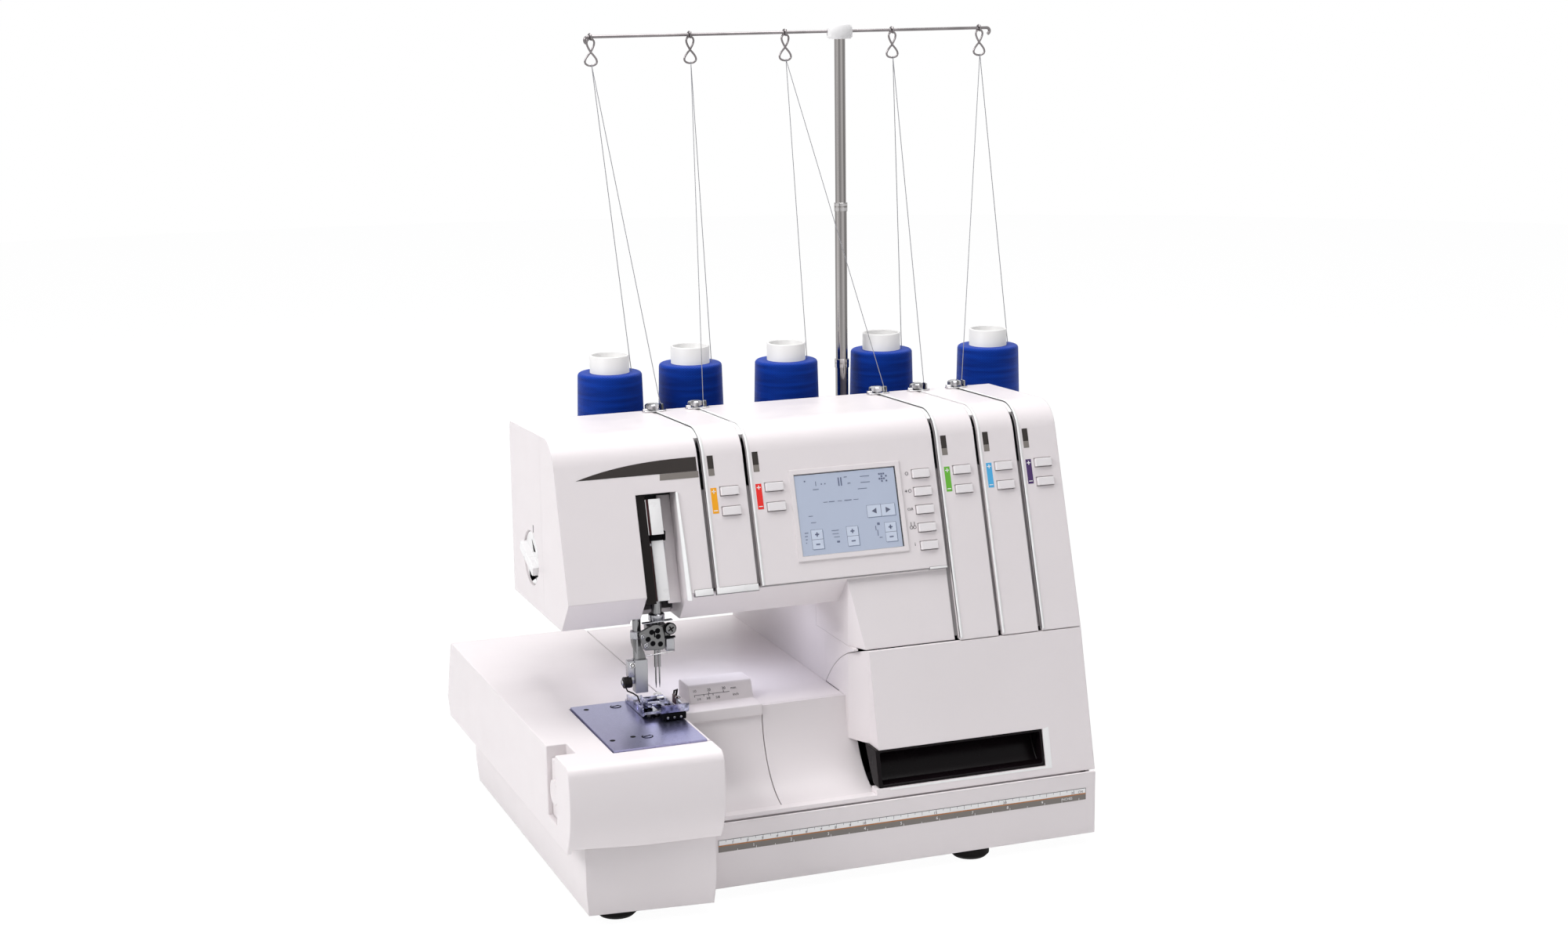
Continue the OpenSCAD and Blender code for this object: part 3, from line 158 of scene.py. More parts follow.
def varied(tree, shader, texture, low, high):
    """Roughness that follows the texture between two values."""
    spread = shading(tree, "MapRange", From_Min=0.3, From_Max=0.7, To_Min=low, To_Max=high)
    link(texture, 0, spread, "Value")
    link(spread, "Result", shader, "Roughness")


def ramp_of(tree, shader, dark, light, ends=(0.0, 1.0)):
    """A ramp between two colours that gives the shader its colour."""
    ramp = shading(tree, "ValToRGB")
    for element, position, colour in zip(ramp.color_ramp.elements, ends, (dark, light)):
        element.position = position
        element.color = (*colour, 1)
    link(ramp, "Color", shader, "Base Color")
    return ramp


def mottled(tree, shader, texture, dark, light):
    link(texture, 0, ramp_of(tree, shader, dark, light, (0.35, 0.65)), "Fac")


def bumped(tree, shader, texture, distance, edge=0.0):
    """Fine relief, and rounded edges where edge gives their radius in metres."""
    bump = shading(tree, "Bump", Distance=distance, Strength=0.5)
    link(texture, 0, bump, "Height")
    if edge:
        rounding = shading(tree, "Bevel", Radius=edge)
        rounding.samples = 4
        link(rounding, "Normal", bump, "Normal")
    link(bump, "Normal", shader, "Normal")


def plastic(name, colour, roughness, grain=0.00002, edge=0.0, gloss=0.5):
    """Slightly mottled plastic with a fine grain."""
    material, tree, shader = nodes_of(name)
    fill(shader, Specular_IOR_Level=gloss)
    mottled(tree, shader, noise(tree, 14, 2), [c * 0.985 for c in colour], colour)
    varied(tree, shader, noise(tree, 60, 3), roughness - 0.04, roughness + 0.06)
    bumped(tree, shader, noise(tree, 2200, 2), grain, edge)
    return material


def metal(name, colour, roughness, stretch=(1, 1, 1), scale=400, relief=0.00001, dark=0.96):
    """Metal whose colour streaks fall to dark times its colour: near one they are a faint grain, and the
    lower dark is, the more they are painted reflection bands.
    """
    material, tree, shader = nodes_of(name)
    fill(shader, Metallic=1.0)
    texture = noise(tree, scale, 4, stretch)
    mottled(tree, shader, texture, [c * dark for c in colour], colour)
    varied(tree, shader, texture, roughness * 0.85, roughness * 1.15)
    bumped(tree, shader, texture, relief)
    return material


def wound_thread(name, rise=5200.0, lean=70.0):
    """Cross-wound yarn: two crossing sets of fine helices round the spool's own axis."""
    material, tree, shader = nodes_of(name)
    coords, parts = shading(tree, "TexCoord"), shading(tree, "SeparateXYZ")
    link(coords, "Object", parts, "Vector")

    def maths(operation, *values):
        """The result of a sum over numbers and outputs of other nodes."""
        node = shading(tree, "Math")
        node.operation = operation
        for socket, value in zip(node.inputs, values):
            if isinstance(value, float):
                socket.default_value = value
            else:
                tree.links.new(value, socket)
        return node.outputs[0]

    angle = maths("ARCTAN2", parts.outputs["Y"], parts.outputs["X"])
    up = maths("MULTIPLY", parts.outputs["Z"], rise)
    sets = [maths("SINE", maths("ADD", up, maths("MULTIPLY", angle, turns))) for turns in (lean, -lean)]
    bands = maths("SUBTRACT", noise(tree, 500, 3, (0.06, 0.06, 1)).outputs[0], 0.5)
    height = maths("ADD", maths("MAXIMUM", *sets), maths("MULTIPLY", bands, 4.0))
    ramp = ramp_of(tree, shader, (0.001, 0.012, 0.13), (0.004, 0.040, 0.34))
    tree.links.new(maths("ADD", maths("MULTIPLY", height, 0.4), 0.4), ramp.inputs["Fac"])
    fill(shader, Roughness=0.55, Specular_IOR_Level=0.3, Specular_Tint=(0.15, 0.35, 1.0, 1),
         Sheen_Tint=(0.3, 0.5, 1.0, 1), Sheen_Weight=0.1, Sheen_Roughness=0.35)
    bump = shading(tree, "Bump", Distance=0.00006)
    tree.links.new(height, bump.inputs["Height"])
    link(bump, "Normal", shader, "Normal")
    return material


white = plastic("white_plastic", (0.775, 0.725, 0.735), 0.36, edge=0.0008, gloss=0.3)
# Brighter, glossier white: the dial, the pole cap and the guard plates are this white, and on the slot beads,
# slot floors and panel tabs its extra brightness is a painted highlight.
smooth_white_and_highlight = plastic("smooth_white_and_highlight", (0.84, 0.83, 0.83), 0.28)
key_white = plastic("key_white", (0.79, 0.755, 0.765), 0.33)
groove = plastic("groove_shade", (0.012, 0.010, 0.011), 0.6, gloss=0.1)
# Grey that paints the shade inside the lower slots, round the panel tabs and under the panel; it is also the
# real mark above the dial.
shade_and_mark_grey = plastic("shade_and_mark_grey", (0.27, 0.255, 0.26), 0.6, gloss=0.2)
knife_red = plastic("knife_red", (0.035, 0.008, 0.010), 0.35, gloss=0.2)
black_gloss = plastic("black_gloss", (0.005, 0.003, 0.004), 0.25, 0.000005, gloss=0.1)
# Satin black parts; the sheet in the channel left of the guard plates and the marks in the screw heads use it
# as painted shade.
black_satin_and_shade = plastic("black_satin_and_shade", (0.008, 0.006, 0.006), 0.4, gloss=0.15)
rubber = plastic("rubber", (0.007, 0.006, 0.006), 0.75, 0.00006, gloss=0.15)
print_dark = plastic("print_dark", (0.036, 0.030, 0.028), 0.45, gloss=0.2)
print_grey = plastic("print_grey", (0.19, 0.17, 0.155), 0.5)
print_ink = plastic("print_ink", (0.10, 0.09, 0.095), 0.5)
# White print; the channel lip and the bevel strips round the grip recess use it as a painted highlight.
print_and_highlight_white = plastic("print_and_highlight_white", (0.85, 0.85, 0.85), 0.5)
print_orange = plastic("print_orange", (0.42, 0.17, 0.05), 0.5)
chrome = metal("chrome", (0.74, 0.73, 0.74), 0.12, (1, 1, 0.1), 300, 0.000004, 0.7)
wire_chrome = metal("wire_chrome", (0.26, 0.24, 0.245), 0.18, (1, 1, 1), 60, 0.000004, 0.7)
# The pole's long vertical streaks fall nearly to black: painted reflection bands.
pole_chrome_painted_reflections = metal("pole_chrome_painted_reflections", (0.60, 0.57, 0.56), 0.1, (1, 1, 0.004), 230, 0.000001, 0.03)
# The knobs' streaks fall to an eighth of their colour: painted reflections.
knob_chrome_painted_reflections = metal("knob_chrome_painted_reflections", (0.62, 0.62, 0.64), 0.14, (1, 1, 0.3), 260, 0.000002, 0.12)
# Vertical streaks that fall to a third of the colour: painted reflection bands on the bars.
bar_steel_painted_reflections = metal("bar_steel_painted_reflections", (0.34, 0.34, 0.35), 0.2, (1, 1, 0.01), 700, 0.000002, 0.35)
steel = metal("steel", (0.46, 0.46, 0.49), 0.26, (1, 8, 1), 500, dark=0.8)
# The needle plate's blue tint is the painted bluish light of the work lamp.
plate_steel = metal("plate_steel", (0.33, 0.33, 0.50), 0.3, (1, 10, 1), 600)
cast = metal("cast_metal", (0.30, 0.30, 0.32), 0.5, (1, 1, 1), 250, 0.00008)
thread_blue = wound_thread("blue_thread")
thread_pale = plastic("pale_thread", (0.30, 0.30, 0.32), 0.6)
clamp_grey = metal("clamp_grey", (0.20, 0.20, 0.20), 0.42, (1, 1, 1), 900, 0.00001)
ankle_grey = metal("ankle_grey", (0.42, 0.42, 0.44), 0.38, (1, 1, 6), 900, 0.00001)
# The foot's blue tint is a painted glint, and its dark streaks painted reflections.
foot_chrome_painted_glint = metal("foot_chrome_painted_glint", (0.50, 0.50, 0.68), 0.16, (1, 1, 1), 260, 0.000004, 0.22)
# Black that paints the shade of holes, gaps and recesses: in the needle clamp, the needle plate and the foot,
# the dial's recess, the channel behind the guard plates and under the foot's toe.
hole_shade_black = plastic("hole_shade_black", (0.003, 0.003, 0.004), 0.5, 0.000002, gloss=0.05)
core_white = plastic("core_white", (0.78, 0.77, 0.76), 0.5)
lcd_blue = plastic("lcd_blue", (0.47, 0.525, 0.65), 0.2, 0.000002, gloss=0.3)
lcd_key = plastic("lcd_key", (0.58, 0.64, 0.76), 0.3, 0.000002)
lcd_line = plastic("lcd_line", (0.13, 0.15, 0.24), 0.4, 0.000002)
lcd_shadow = plastic("lcd_shadow", (0.24, 0.29, 0.40), 0.4, 0.000002)
lcd_mark = plastic("lcd_mark", (0.10, 0.11, 0.17), 0.4, 0.000002)
lcd_bezel_shadow = plastic("lcd_bezel_shadow", (0.02, 0.02, 0.03), 0.3, 0.000002)
STRIP_COLOURS = ((0.87, 0.37, 0.005), (0.78, 0.02, 0.015), (0.12, 0.42, 0.03), (0.07, 0.40, 0.72),
                 (0.045, 0.012, 0.10))
STRIPS = [plastic(f"strip_{i}", colour, 0.4) for i, colour in enumerate(STRIP_COLOURS, 1)]


# ---- mesh making ----
def shown(name, data):
    """A new object of the scene."""
    piece = bpy.data.objects.new(name, data)
    bpy.context.scene.collection.objects.link(piece)
    return piece


def finished(name, bm, material, where=Matrix.Identity(4), smooth=None):
    """The placed mesh of bm, shaded smooth but for edges sharper than smooth degrees."""
    mesh = bpy.data.meshes.new(name)
    bm.to_mesh(mesh)
    bm.free()
    mesh.transform(where)
    mesh.polygons.foreach_set("use_smooth", [True] * len(mesh.polygons))
    if smooth is not None:
        mesh.set_sharp_from_angle(angle=radians(smooth))
    mesh.materials.append(material)
    return mesh


def add(name, bm, material, where, body="machine", smooth=30.0):
    """Turns local millimetres into a piece that rides on a body."""
    ops.recalc_face_normals(bm, faces=bm.faces)
    piece = shown(name, finished(name, bm, material, where, smooth))
    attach(piece, body)
    return piece


def rounded(bm, radius, angle=25.0):
    """Rounds the edges that bend by more than an angle."""
    sharp = [e for e in bm.edges if len(e.link_faces) == 2 and e.calc_face_angle(0) > radians(angle)]
    ops.bevel(bm, geom=sharp, offset=radius, segments=3, profile=0.5, affect="EDGES",
                    clamp_overlap=True)


def joined(bm, extra):
    """Adds extra to bm if there is one."""
    if bm is None:
        return extra
    mesh = bpy.data.meshes.new("joining")
    extra.to_mesh(mesh)
    extra.free()
    bm.from_mesh(mesh)
    bpy.data.meshes.remove(mesh)
    return bm


def brick(size, radius=0.0, centre=(0, 0, 0), bm=None):
    """A block with rounded edges, added to bm if there is one."""
    block = bmesh.new()
    ops.create_cube(block, size=1.0)
    ops.scale(block, vec=size, verts=block.verts)
    ops.translate(block, vec=centre, verts=block.verts)
    if radius:
        rounded(block, radius)
    return joined(bm, block)


def blocks(body, rows):
    """Rounded blocks from rows of name, finish, size, radius, middle and, if need be, turn."""
    for name, finish, size, radius, middle, *turn in rows:
        add(name, brick(size, radius), finish, place(*middle, *turn), body)


def plate(outline, low, high, radius=0.0, bm=None):
    """A prism on an outline in local X and Y, with rounded edges."""
    slab = bmesh.new()
    face = slab.faces.new([slab.verts.new((x, y, low)) for x, y in outline])
    top = ops.extrude_face_region(slab, geom=[face])["geom"]
    raised = [v for v in top if isinstance(v, bmesh.types.BMVert)]
    ops.translate(slab, vec=(0, 0, high - low), verts=raised)
    ops.recalc_face_normals(slab, faces=slab.faces)
    if radius:
        rounded(slab, radius)
    return joined(bm, slab)


def lathe(profile, steps=48):
    """Turns a profile of (radius, height) about local Z."""
    body = bmesh.new()
    ring = [body.verts.new((r, 0, z)) for r, z in profile]
    edges = [body.edges.new(pair) for pair in zip(ring, ring[1:])]
    ops.spin(body, geom=ring + edges, cent=(0, 0, 0), axis=(0, 0, 1), angle=tau, steps=steps)
    ops.remove_doubles(body, verts=body.verts, dist=1e-4)
    return body


def disc(radius, low, high, edge=0.2):
    return lathe([(0, low), (radius, low), (radius, high - edge), (radius - edge, high), (0, high)], 24)


def bend(cx, cy, r, angles):
    """Points round a centre, at angles in degrees."""
    return [(cx + r * cos(radians(a)), cy + r * sin(radians(a))) for a in angles]


def arc(cx, cy, r, start, end, steps):
    return bend(cx, cy, r, [start + (end - start) * i / steps for i in range(steps + 1)])


def box_outline(x0, y0, x1, y1, r=0.0):
    """A rectangle's corners, or its outline with round corners."""
    if not r:
        return [(x0, y0), (x1, y0), (x1, y1), (x0, y1)]
    return (arc(x1 - r, y0 + r, r, -90, 0, 4) + arc(x1 - r, y1 - r, r, 0, 90, 4)
            + arc(x0 + r, y1 - r, r, 90, 180, 4) + arc(x0 + r, y0 + r, r, 180, 270, 4))


def bent_wire(name, points, radius, material, body):
    """A round wire through points of the machine in mm."""
    curve = bpy.data.curves.new(name, "CURVE")
    curve.dimensions = "3D"
    curve.bevel_depth = radius * MM
    curve.bevel_resolution = 3
    curve.use_fill_caps = True
    spline = curve.splines.new("POLY")
    spline.points.add(len(points) - 1)
    for point, spot in zip(spline.points, points):
        point.co = (*place(*spot).translation, 1)
    curve.materials.append(material)
    wire = shown(name, curve)
    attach(wire, body)
    return wire


def lettering(name, text, size, where, material, body="machine", extrude=0.06):
    """Plain figures and units, as thin raised print."""
    curve = bpy.data.curves.new(name, "FONT")
    curve.body = text
    curve.size = size
    curve.extrude = extrude
    curve.align_x = curve.align_y = "CENTER"
    curve.resolution_u = 3
    curve.materials.append(material)
    words = shown(name, curve)
    words.matrix_world = where
    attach(words, body)


def plane_of(face):
    """What coplanar faces share: their direction and their distance from the origin."""
    return tuple(round(value, 3) for value in (*face.normal, face.normal.dot(face.verts[0].co)))


def keep_flat(bm, large=0.0015, limit=20.0):
    """Sharp edges at corners and round large planes, so that no rounding shades into a plane."""
    planes = {face: plane_of(face) for face in bm.faces}
    area = {}
    for face, plane in planes.items():
        area[plane] = area.get(plane, 0.0) + face.calc_area()
    for edge in bm.edges:
        sides = [planes[face] for face in edge.link_faces]
        if len(sides) == 2 and sides[0] != sides[1]:
            corner = edge.calc_face_angle() >= radians(limit)
            edge.smooth = not corner and max(area[side] for side in sides) < large


def dress(node, material, radius, body="machine", segments=2):
    """A copy of a CAD node, which stands for the node, with its edges rounded for real when a radius is
    given, and else shaded smooth with its large planes kept flat.
    """
    name = node + "_finished"
    bm = bmesh.new()
    bm.from_mesh(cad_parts[node].data)
    ops.remove_doubles(bm, verts=bm.verts, dist=2e-6)
    if radius:
        ops.dissolve_limit(bm, angle_limit=radians(0.4), verts=bm.verts, edges=bm.edges)
    else:
        keep_flat(bm)
    piece = shown(name, finished(name, bm, material))
    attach(piece, body)
    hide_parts(node)
    if not radius:
        return
    bevel = piece.modifiers.new("edges", "BEVEL")
    bevel.width = radius * MM
    bevel.segments = segments
    bevel.limit_method = "ANGLE"
    bevel.angle_limit = radians(32)
    bevel.miter_outer = "MITER_ARC"
    weights = piece.modifiers.new("normals", "WEIGHTED_NORMAL")
    weights.weight = 60


# ---- camera, light and floor ----
EYE_SPOT, EYE_TURNS, EYE_LENS = (-0.58211, -1.51129, 0.58507), (20.780, 11.862, -0.6596), 56.406


def camera():
    """The photograph's viewpoint, from azimuth, downward pitch and roll in degrees."""
    azimuth, pitch, roll = map(radians, EYE_TURNS)
    spot = Vector(EYE_SPOT)
    flat = cos(pitch)
    ahead = Vector((sin(azimuth) * flat, cos(azimuth) * flat, -sin(pitch)))
    level = Vector((cos(azimuth), -sin(azimuth), 0))
    up = level.cross(ahead)
    right = cos(roll) * level + sin(roll) * up
    top = cos(roll) * up - sin(roll) * level
    data = bpy.data.cameras.new("camera")
    data.sensor_width = 36
    data.lens = EYE_LENS
    data.clip_start, data.clip_end = 0.1, 20
    eye = shown("camera", data)
    rows = [(r, t, -a, s) for r, t, a, s in zip(right, top, ahead, spot)]
    eye.matrix_world = Matrix((*rows, (0, 0, 0, 1)))
    bpy.context.scene.camera = eye


def lamp(name, spot, target, size, power, colour=(1, 1, 1)):
    data = bpy.data.lights.new(name, "AREA")
    data.shape = "RECTANGLE"
    data.size, data.size_y = size
    data.energy = power
    data.color = colour
    light = shown(name, data)
    light.location = spot
    light.rotation_mode = "QUATERNION"
    light.rotation_quaternion = (Vector(target) - Vector(spot)).to_track_quat("-Z", "Y")


def background(tree, lit, seen):
    """Mixes what the camera, mirrors and glass see with what lights the scene."""
    path = shading(tree, "LightPath")
    seen_by = path.outputs["Is Camera Ray"]
    for kind in ("Is Glossy Ray", "Is Transmission Ray"):
        either = shading(tree, "Math")
        either.operation = "MAXIMUM"
        tree.links.new(seen_by, either.inputs[0])
        link(path, kind, either, 1)
        seen_by = either.outputs[0]
    mix = shading(tree, "MixShader")
    tree.links.new(seen_by, mix.inputs["Fac"])
    link(lit, 0, mix, 1)
    link(seen, 0, mix, 2)
    return mix


def sky():
    """A dim world that the camera sees as white."""
    world = bpy.data.worlds.new("studio")
    bpy.context.scene.world = world
    world.use_nodes = True
    tree = world.node_tree
    lit = tree.nodes["Background"]
    fill(lit, Color=(0.93, 0.94, 1.0, 1), Strength=0.21)
    seen = shading(tree, "Background", Color=(1, 1, 1, 1), Strength=1.0)
    link(background(tree, lit, seen), 0, tree.nodes["World Output"], "Surface")


def ground(radius=4.0, glow=1.04, share=0.93):
    """A pale floor that the camera sees as nearly white, with the machine's shadow."""
    floor, tree, shader = nodes_of("floor")
    fill(shader, Base_Color=(0.9, 0.9, 0.9, 1), Roughness=0.8)
    glowing = shading(tree, "Emission", Color=(1, 1, 1, 1), Strength=glow)
    pale = shading(tree, "MixShader", Fac=share)
    link(shader, 0, pale, 1)
    link(glowing, 0, pale, 2)
    link(background(tree, shader, pale), 0, tree.nodes["Material Output"], "Surface")
    bm = bmesh.new()
    ops.create_circle(bm, cap_ends=True, radius=radius, segments=64)
    shown("floor", finished("floor", bm, floor))


def studio():
    bpy.context.scene.view_settings.view_transform = "Standard"
    sky()
    lamp("key", (-2.1, -0.5, 1.9), (0, 0, 0.2), (1.3, 1.3), 46)
    lamp("top", (0.2, 0.0, 2.4), (0, 0, 0.2), (2.0, 1.6), 48)
    lamp("front", (0.5, -2.6, 1.1), (0, 0, 0.2), (1.8, 1.2), 1)
    lamp("work_light", place(34, 104, 160).translation, place(36, 112, 100).translation, (0.10, 0.05), 0.035,
         (0.84, 0.88, 1.0))
    ground()


# ---- shells with rounded edges ----
SHELLS = (
    ("front_casing", white, 0), ("rear_casing", white, 0), ("looper_cover", white, 0, "cover"),
    ("base_tray", white, 1.0), ("bed_cover", white, 0.6), ("free_arm", white, 0.8),
    ("spool_tray", white, 1.0), ("extension_table", white, 1.4, "table", 3),
    ("release_button", white, 0.8, "table_release"),
    ("seam_guide", white, 0.7, "seam_guide"), ("pressure_dial", smooth_white_and_highlight, 0.7, "dial"),
    ("handwheel", white, 1.0, "drive_shaft"), ("grip_insert", black_gloss, 0.8, "cover"),
)


def shells():
    """Each shell and each key, dressed."""
    for row in SHELLS:
        dress(*row)
    for i in range(1, 6):
        for kind in ("menu", "plus", "minus"):
            dress(f"{kind}_key_{i}", key_white, 0.45, f"{kind}_key_{i}", 3)


# ---- thread slots ----
BROW_R, HEAD_TOP, HEAD_BACK, TOP_FALL = 22.0, 288.8, 172.0, 3.3
BROW_Z = HEAD_TOP - BROW_R
BROW_Y = face_y(HEAD_TOP) + BROW_R * tan(radians(90 - FACE_LEAN) / 2)
SLOT_BACK, SLOT_W, SLOT_HALF = 163.0, 3.0, 1.52
SLOT_LOW, SLOT_TOP_START = 145.5, 128
SHADE_IN, DARK_IN, SHADE_TOP = 3.4, 8.4, 252.0
TOP_LEAN = atan(TOP_FALL / (HEAD_BACK - 3 - BROW_Y))
SLOT_BEAD = ((0.0, -1.2), (0.0, 0.25), (0.25, 0.5), (0.8, 0.62), (1.4, 0.5), (2.1, -0.15), (2.1, -1.2))


def head_line(low, out=0.0, start=None):
    """Points [y, z] up the front, round the brow and along the top, a little outside the casing."""
    line = []
    if start is None:
        lean = radians(FACE_LEAN)
        line.append((face_y(low) - out * cos(lean), low + out * sin(lean)))
        start = 180 - FACE_LEAN
    line += arc(BROW_Y, BROW_Z, BROW_R + out, start, 90, 20)
    line.append((SLOT_BACK, HEAD_TOP - tan(TOP_LEAN) * (SLOT_BACK - BROW_Y) + out))
    return line


def ribbon(name, sections, material, body="machine", smooth=40.0):
    """A closed band between loops of (x, y, z) points in mm of the machine."""
    bm = bmesh.new()
    loops = [[bm.verts.new(p) for p in section] for section in sections]
    for first, second in zip(loops, loops[1:]):
        for i in range(len(first)):
            j = (i + 1) % len(first)
            bm.faces.new((first[i], first[j], second[j], second[i]))
    bm.faces.new(loops[0])
    bm.faces.new(loops[-1])
    return add(name, bm, material, place(0, 0, 0), body, smooth)


def profile_bar(name, outline, ends, material, body):
    """A straight bar along X with an outline of (y, z) points."""
    ribbon(name, [[(x, y, z) for y, z in outline] for x in ends], material, body)


def strand(name, ends, radius, material):
    """A straight thread between two points of the machine."""
    first, last = map(Vector, ends)
    across = (last - first).to_track_quat("Z", "X")
    ring = [across @ Vector((x, y, 0)) for x, y in bend(0, 0, radius, range(0, 360, 60))]
    return ribbon(name, [[tuple(end + r) for r in ring] for end in (first, last)], material, smooth=80)


def slot_trim():
    """The raised bead right of each slot and the shallow white channel that the slot becomes on the top, both
    in a brighter white as a painted highlight, and in each slot grey and black sheets that paint its shade,
    darkest under the brow.
    """
    for i, x in enumerate(SLOTS, 1):
        low = PANEL_Z if i <= 2 else SLOT_LOW
        lines = [head_line(low, out) for _, out in SLOT_BEAD]
        edge = [x + SLOT_W / 2 + dx for dx, _ in SLOT_BEAD]
        sections = [[(bx, *point) for bx, point in zip(edge, points)] for points in zip(*lines)]
        ribbon(f"slot_bead_{i}", sections, smooth_white_and_highlight)
        left, right = x - SLOT_HALF, x + SLOT_HALF
        floor = zip(head_line(0, -6.0, SLOT_TOP_START), head_line(0, -0.7, SLOT_TOP_START))
        sections = [[(left, *deep), (right, *deep), (right, *high), (left, *high)] for deep, high in floor]
        ribbon(f"slot_floor_{i}", sections, smooth_white_and_highlight)
        # The shade and dark ribbons are grey and black sheets set into the slot: painted shade.
        shallow = [(face_y(z) + SHADE_IN, z) for z in (low + 1, SHADE_TOP)]
        brow = arc(BROW_Y, BROW_Z, BROW_R - DARK_IN, 162.5, 125, 6)
        for kind, line, finish in (("shade", shallow, shade_and_mark_grey),
                                   ("dark", [(face_y(SHADE_TOP) + DARK_IN, SHADE_TOP), *brow], groove)):
            sections = [[(left, y, z), (right, y, z), (right, y + 1.5, z - 0.6), (left, y + 1.5, z - 0.6)]
                        for y, z in line]
            ribbon(f"slot_{kind}_{i}", sections, finish)


# ---- prints and keys on the front ----
def on_panel(name, x0, z0, x1, z1, material, slant=0.0):
    """A thin printed field on the leaning panel; slant leans its left end."""
    height = up_face(z1 - z0)
    outline = [(0, 0), (x1 - x0, 0), (x1 - x0, height), (slant, height)]
    add(name, plate(outline, -0.3, PROUD), material, on_face(x0, z0))


def sign(size, minus, stroke=0.22):
    """A plain minus, or the plus that a second stroke makes of it."""
    bars = brick((size, size * stroke, 0.1))
    return bars if minus else brick((size * stroke, size, 0.1), bm=bars)


def front_prints():
    """The swoosh, and beside each slot its tick window and its coloured strip with the signs."""
    steps = 14
    top = [(80 * t, up_face(8.6 * (1 - (1 - t) ** 2.6))) for t in (i / steps for i in range(steps + 1))]
    add("swoosh", plate([(80, 0), *reversed(top)], -0.3, PROUD), print_dark, on_face(-68, 264.5))
    on_panel("swoosh_strip", -13.4, 260.5, 12.6, 264.4, print_grey, slant=0.4)
    for i, (x, colour) in enumerate(zip(SLOTS, STRIPS), 1):
        fields = (("window", 264.9, 273.0, print_dark), ("window_low", 260.6, 264.9, print_grey),
                  ("colour_strip", 237.5, 253.2, colour))
        for name, low, high, ink in fields:
            on_panel(f"{name}_{i}", x + 4.8, low, x + 8.8, high, ink)
        for name, z in (("plus", 250.9), ("minus", 239.2)):
            add(f"strip_{name}_{i}", sign(2.6, name == "minus"), print_and_highlight_white, on_face(x + 6.8, z, 0.2))


TABS = ((1.4, 13.3, 188.8, 192.6), (15.9, 43.9, 188.8, 192.6), (163.5, 175.8, 190.2, 191.4))
MARK_X, MARK_ROWS = 155.2, (251.2, 240.2, 228.7, 217.9, 206.6)


def panel_trim():
    """The tabs, brighter as a painted highlight and rimmed with painted shade, the painted shadow under the
    panel, and the marks left of the menu keys.
    """
    for i, (x0, x1, z0, z1) in enumerate(TABS, 1):
        width, height = x1 - x0, up_face(z1 - z0)
        # A grey rim of painted shade round each tab, which is brighter white as a painted highlight.
        outline = plate(box_outline(-0.25, -0.45, width + 0.25, height + 0.3), -2.4, 0.2)
        add(f"tab_shade_rim_{i}", outline, shade_and_mark_grey, on_face(x0, z0))
        tab = plate(box_outline(0, 0, width, height, 0.3), -2.0, 0.9, 0.25)
        add(f"tab_{i}", tab, smooth_white_and_highlight, on_face(x0, z0))
    # A grey line of painted shadow under the panel's lower edge.
    add("panel_shadow_line", plate(box_outline(0, 0, 131.0, 0.8), -0.4, 0.14), shade_and_mark_grey, on_face(45.0, 190.1))
    ring = [(1.15, -0.1), (1.15, 0.15), (0.85, 0.15), (0.85, -0.1), (1.15, -0.1)]
    x, (first, second, clear, pair, info) = MARK_X, MARK_ROWS
    rings = ((x, first), (x + 0.9, second), (x - 1.2, pair - 0.6), (x + 1.2, pair - 0.6))
    for i, spot in enumerate(rings, 1):
        add(f"menu_ring_{i}", lathe(ring, 20), print_ink, on_face(*spot))
    add("menu_plus", sign(1.7, False), print_ink, on_face(x - 1.9, second, 0.2))
    for i, px in enumerate((x - 1.2, x + 1.2), 1):
        add(f"menu_stem_{i}", brick((0.4, 2.4, 0.1)), print_ink, on_face(px, pair + 1.6, 0.15))
    lettering("menu_clear", "CLR", 2.3, on_face(x - 0.4, clear, PROUD), print_ink)
    lettering("menu_info", "i", 3.4, on_face(x, info, PROUD), print_ink)


# ---- display ----
SCREEN = (76.3, 206.0, 71.0, 53.0)
SCREEN_OUT = 0.4
KEY_W, KEY_H, KEY_STEP, ARROW_W, ARROW_H = 0.11, 0.115, 0.12, 0.135, 0.145
PICTOGRAMS = (
    (0.20, 0.20, 4.0, 0.4), (0.205, 0.13, 0.4, 3.0), (0.26, 0.14, 0.8, 0.8), (0.295, 0.14, 0.8, 0.8),
    (0.43, 0.13, 0.9, 5.5), (0.455, 0.13, 0.9, 5.5), (0.50, 0.08, 2.2, 0.5), (0.53, 0.16, 2.0, 0.5),
    (0.28, 0.365, 3.0, 0.35), (0.34, 0.365, 4.0, 0.5), (0.42, 0.365, 3.0, 0.35), (0.50, 0.365, 5.0, 0.5),
    (0.58, 0.365, 3.5, 0.35), (0.06, 0.72, 2.6, 0.5), (0.055, 0.76, 2.0, 0.5), (0.055, 0.80, 1.4, 0.5),
    (0.05, 0.84, 0.8, 0.5), (0.34, 0.72, 5.0, 0.4), (0.34, 0.76, 4.4, 0.35), (0.35, 0.80, 4.0, 0.35),
    (0.36, 0.86, 2.0, 1.2), (0.74, 0.74, 0.5, 3.0), (0.77, 0.69, 1.8, 1.6), (0.78, 0.86, 2.0, 0.5),
    (0.755, 0.80, 0.5, 4.0), (0.69, 0.09, 6.5, 0.4), (0.69, 0.165, 6.5, 0.4), (0.655, 0.24, 6.5, 0.4),
    (0.10, 0.09, 1.0, 1.0), (0.12, 0.52, 3.0, 0.4), (0.14, 0.60, 3.6, 0.4))


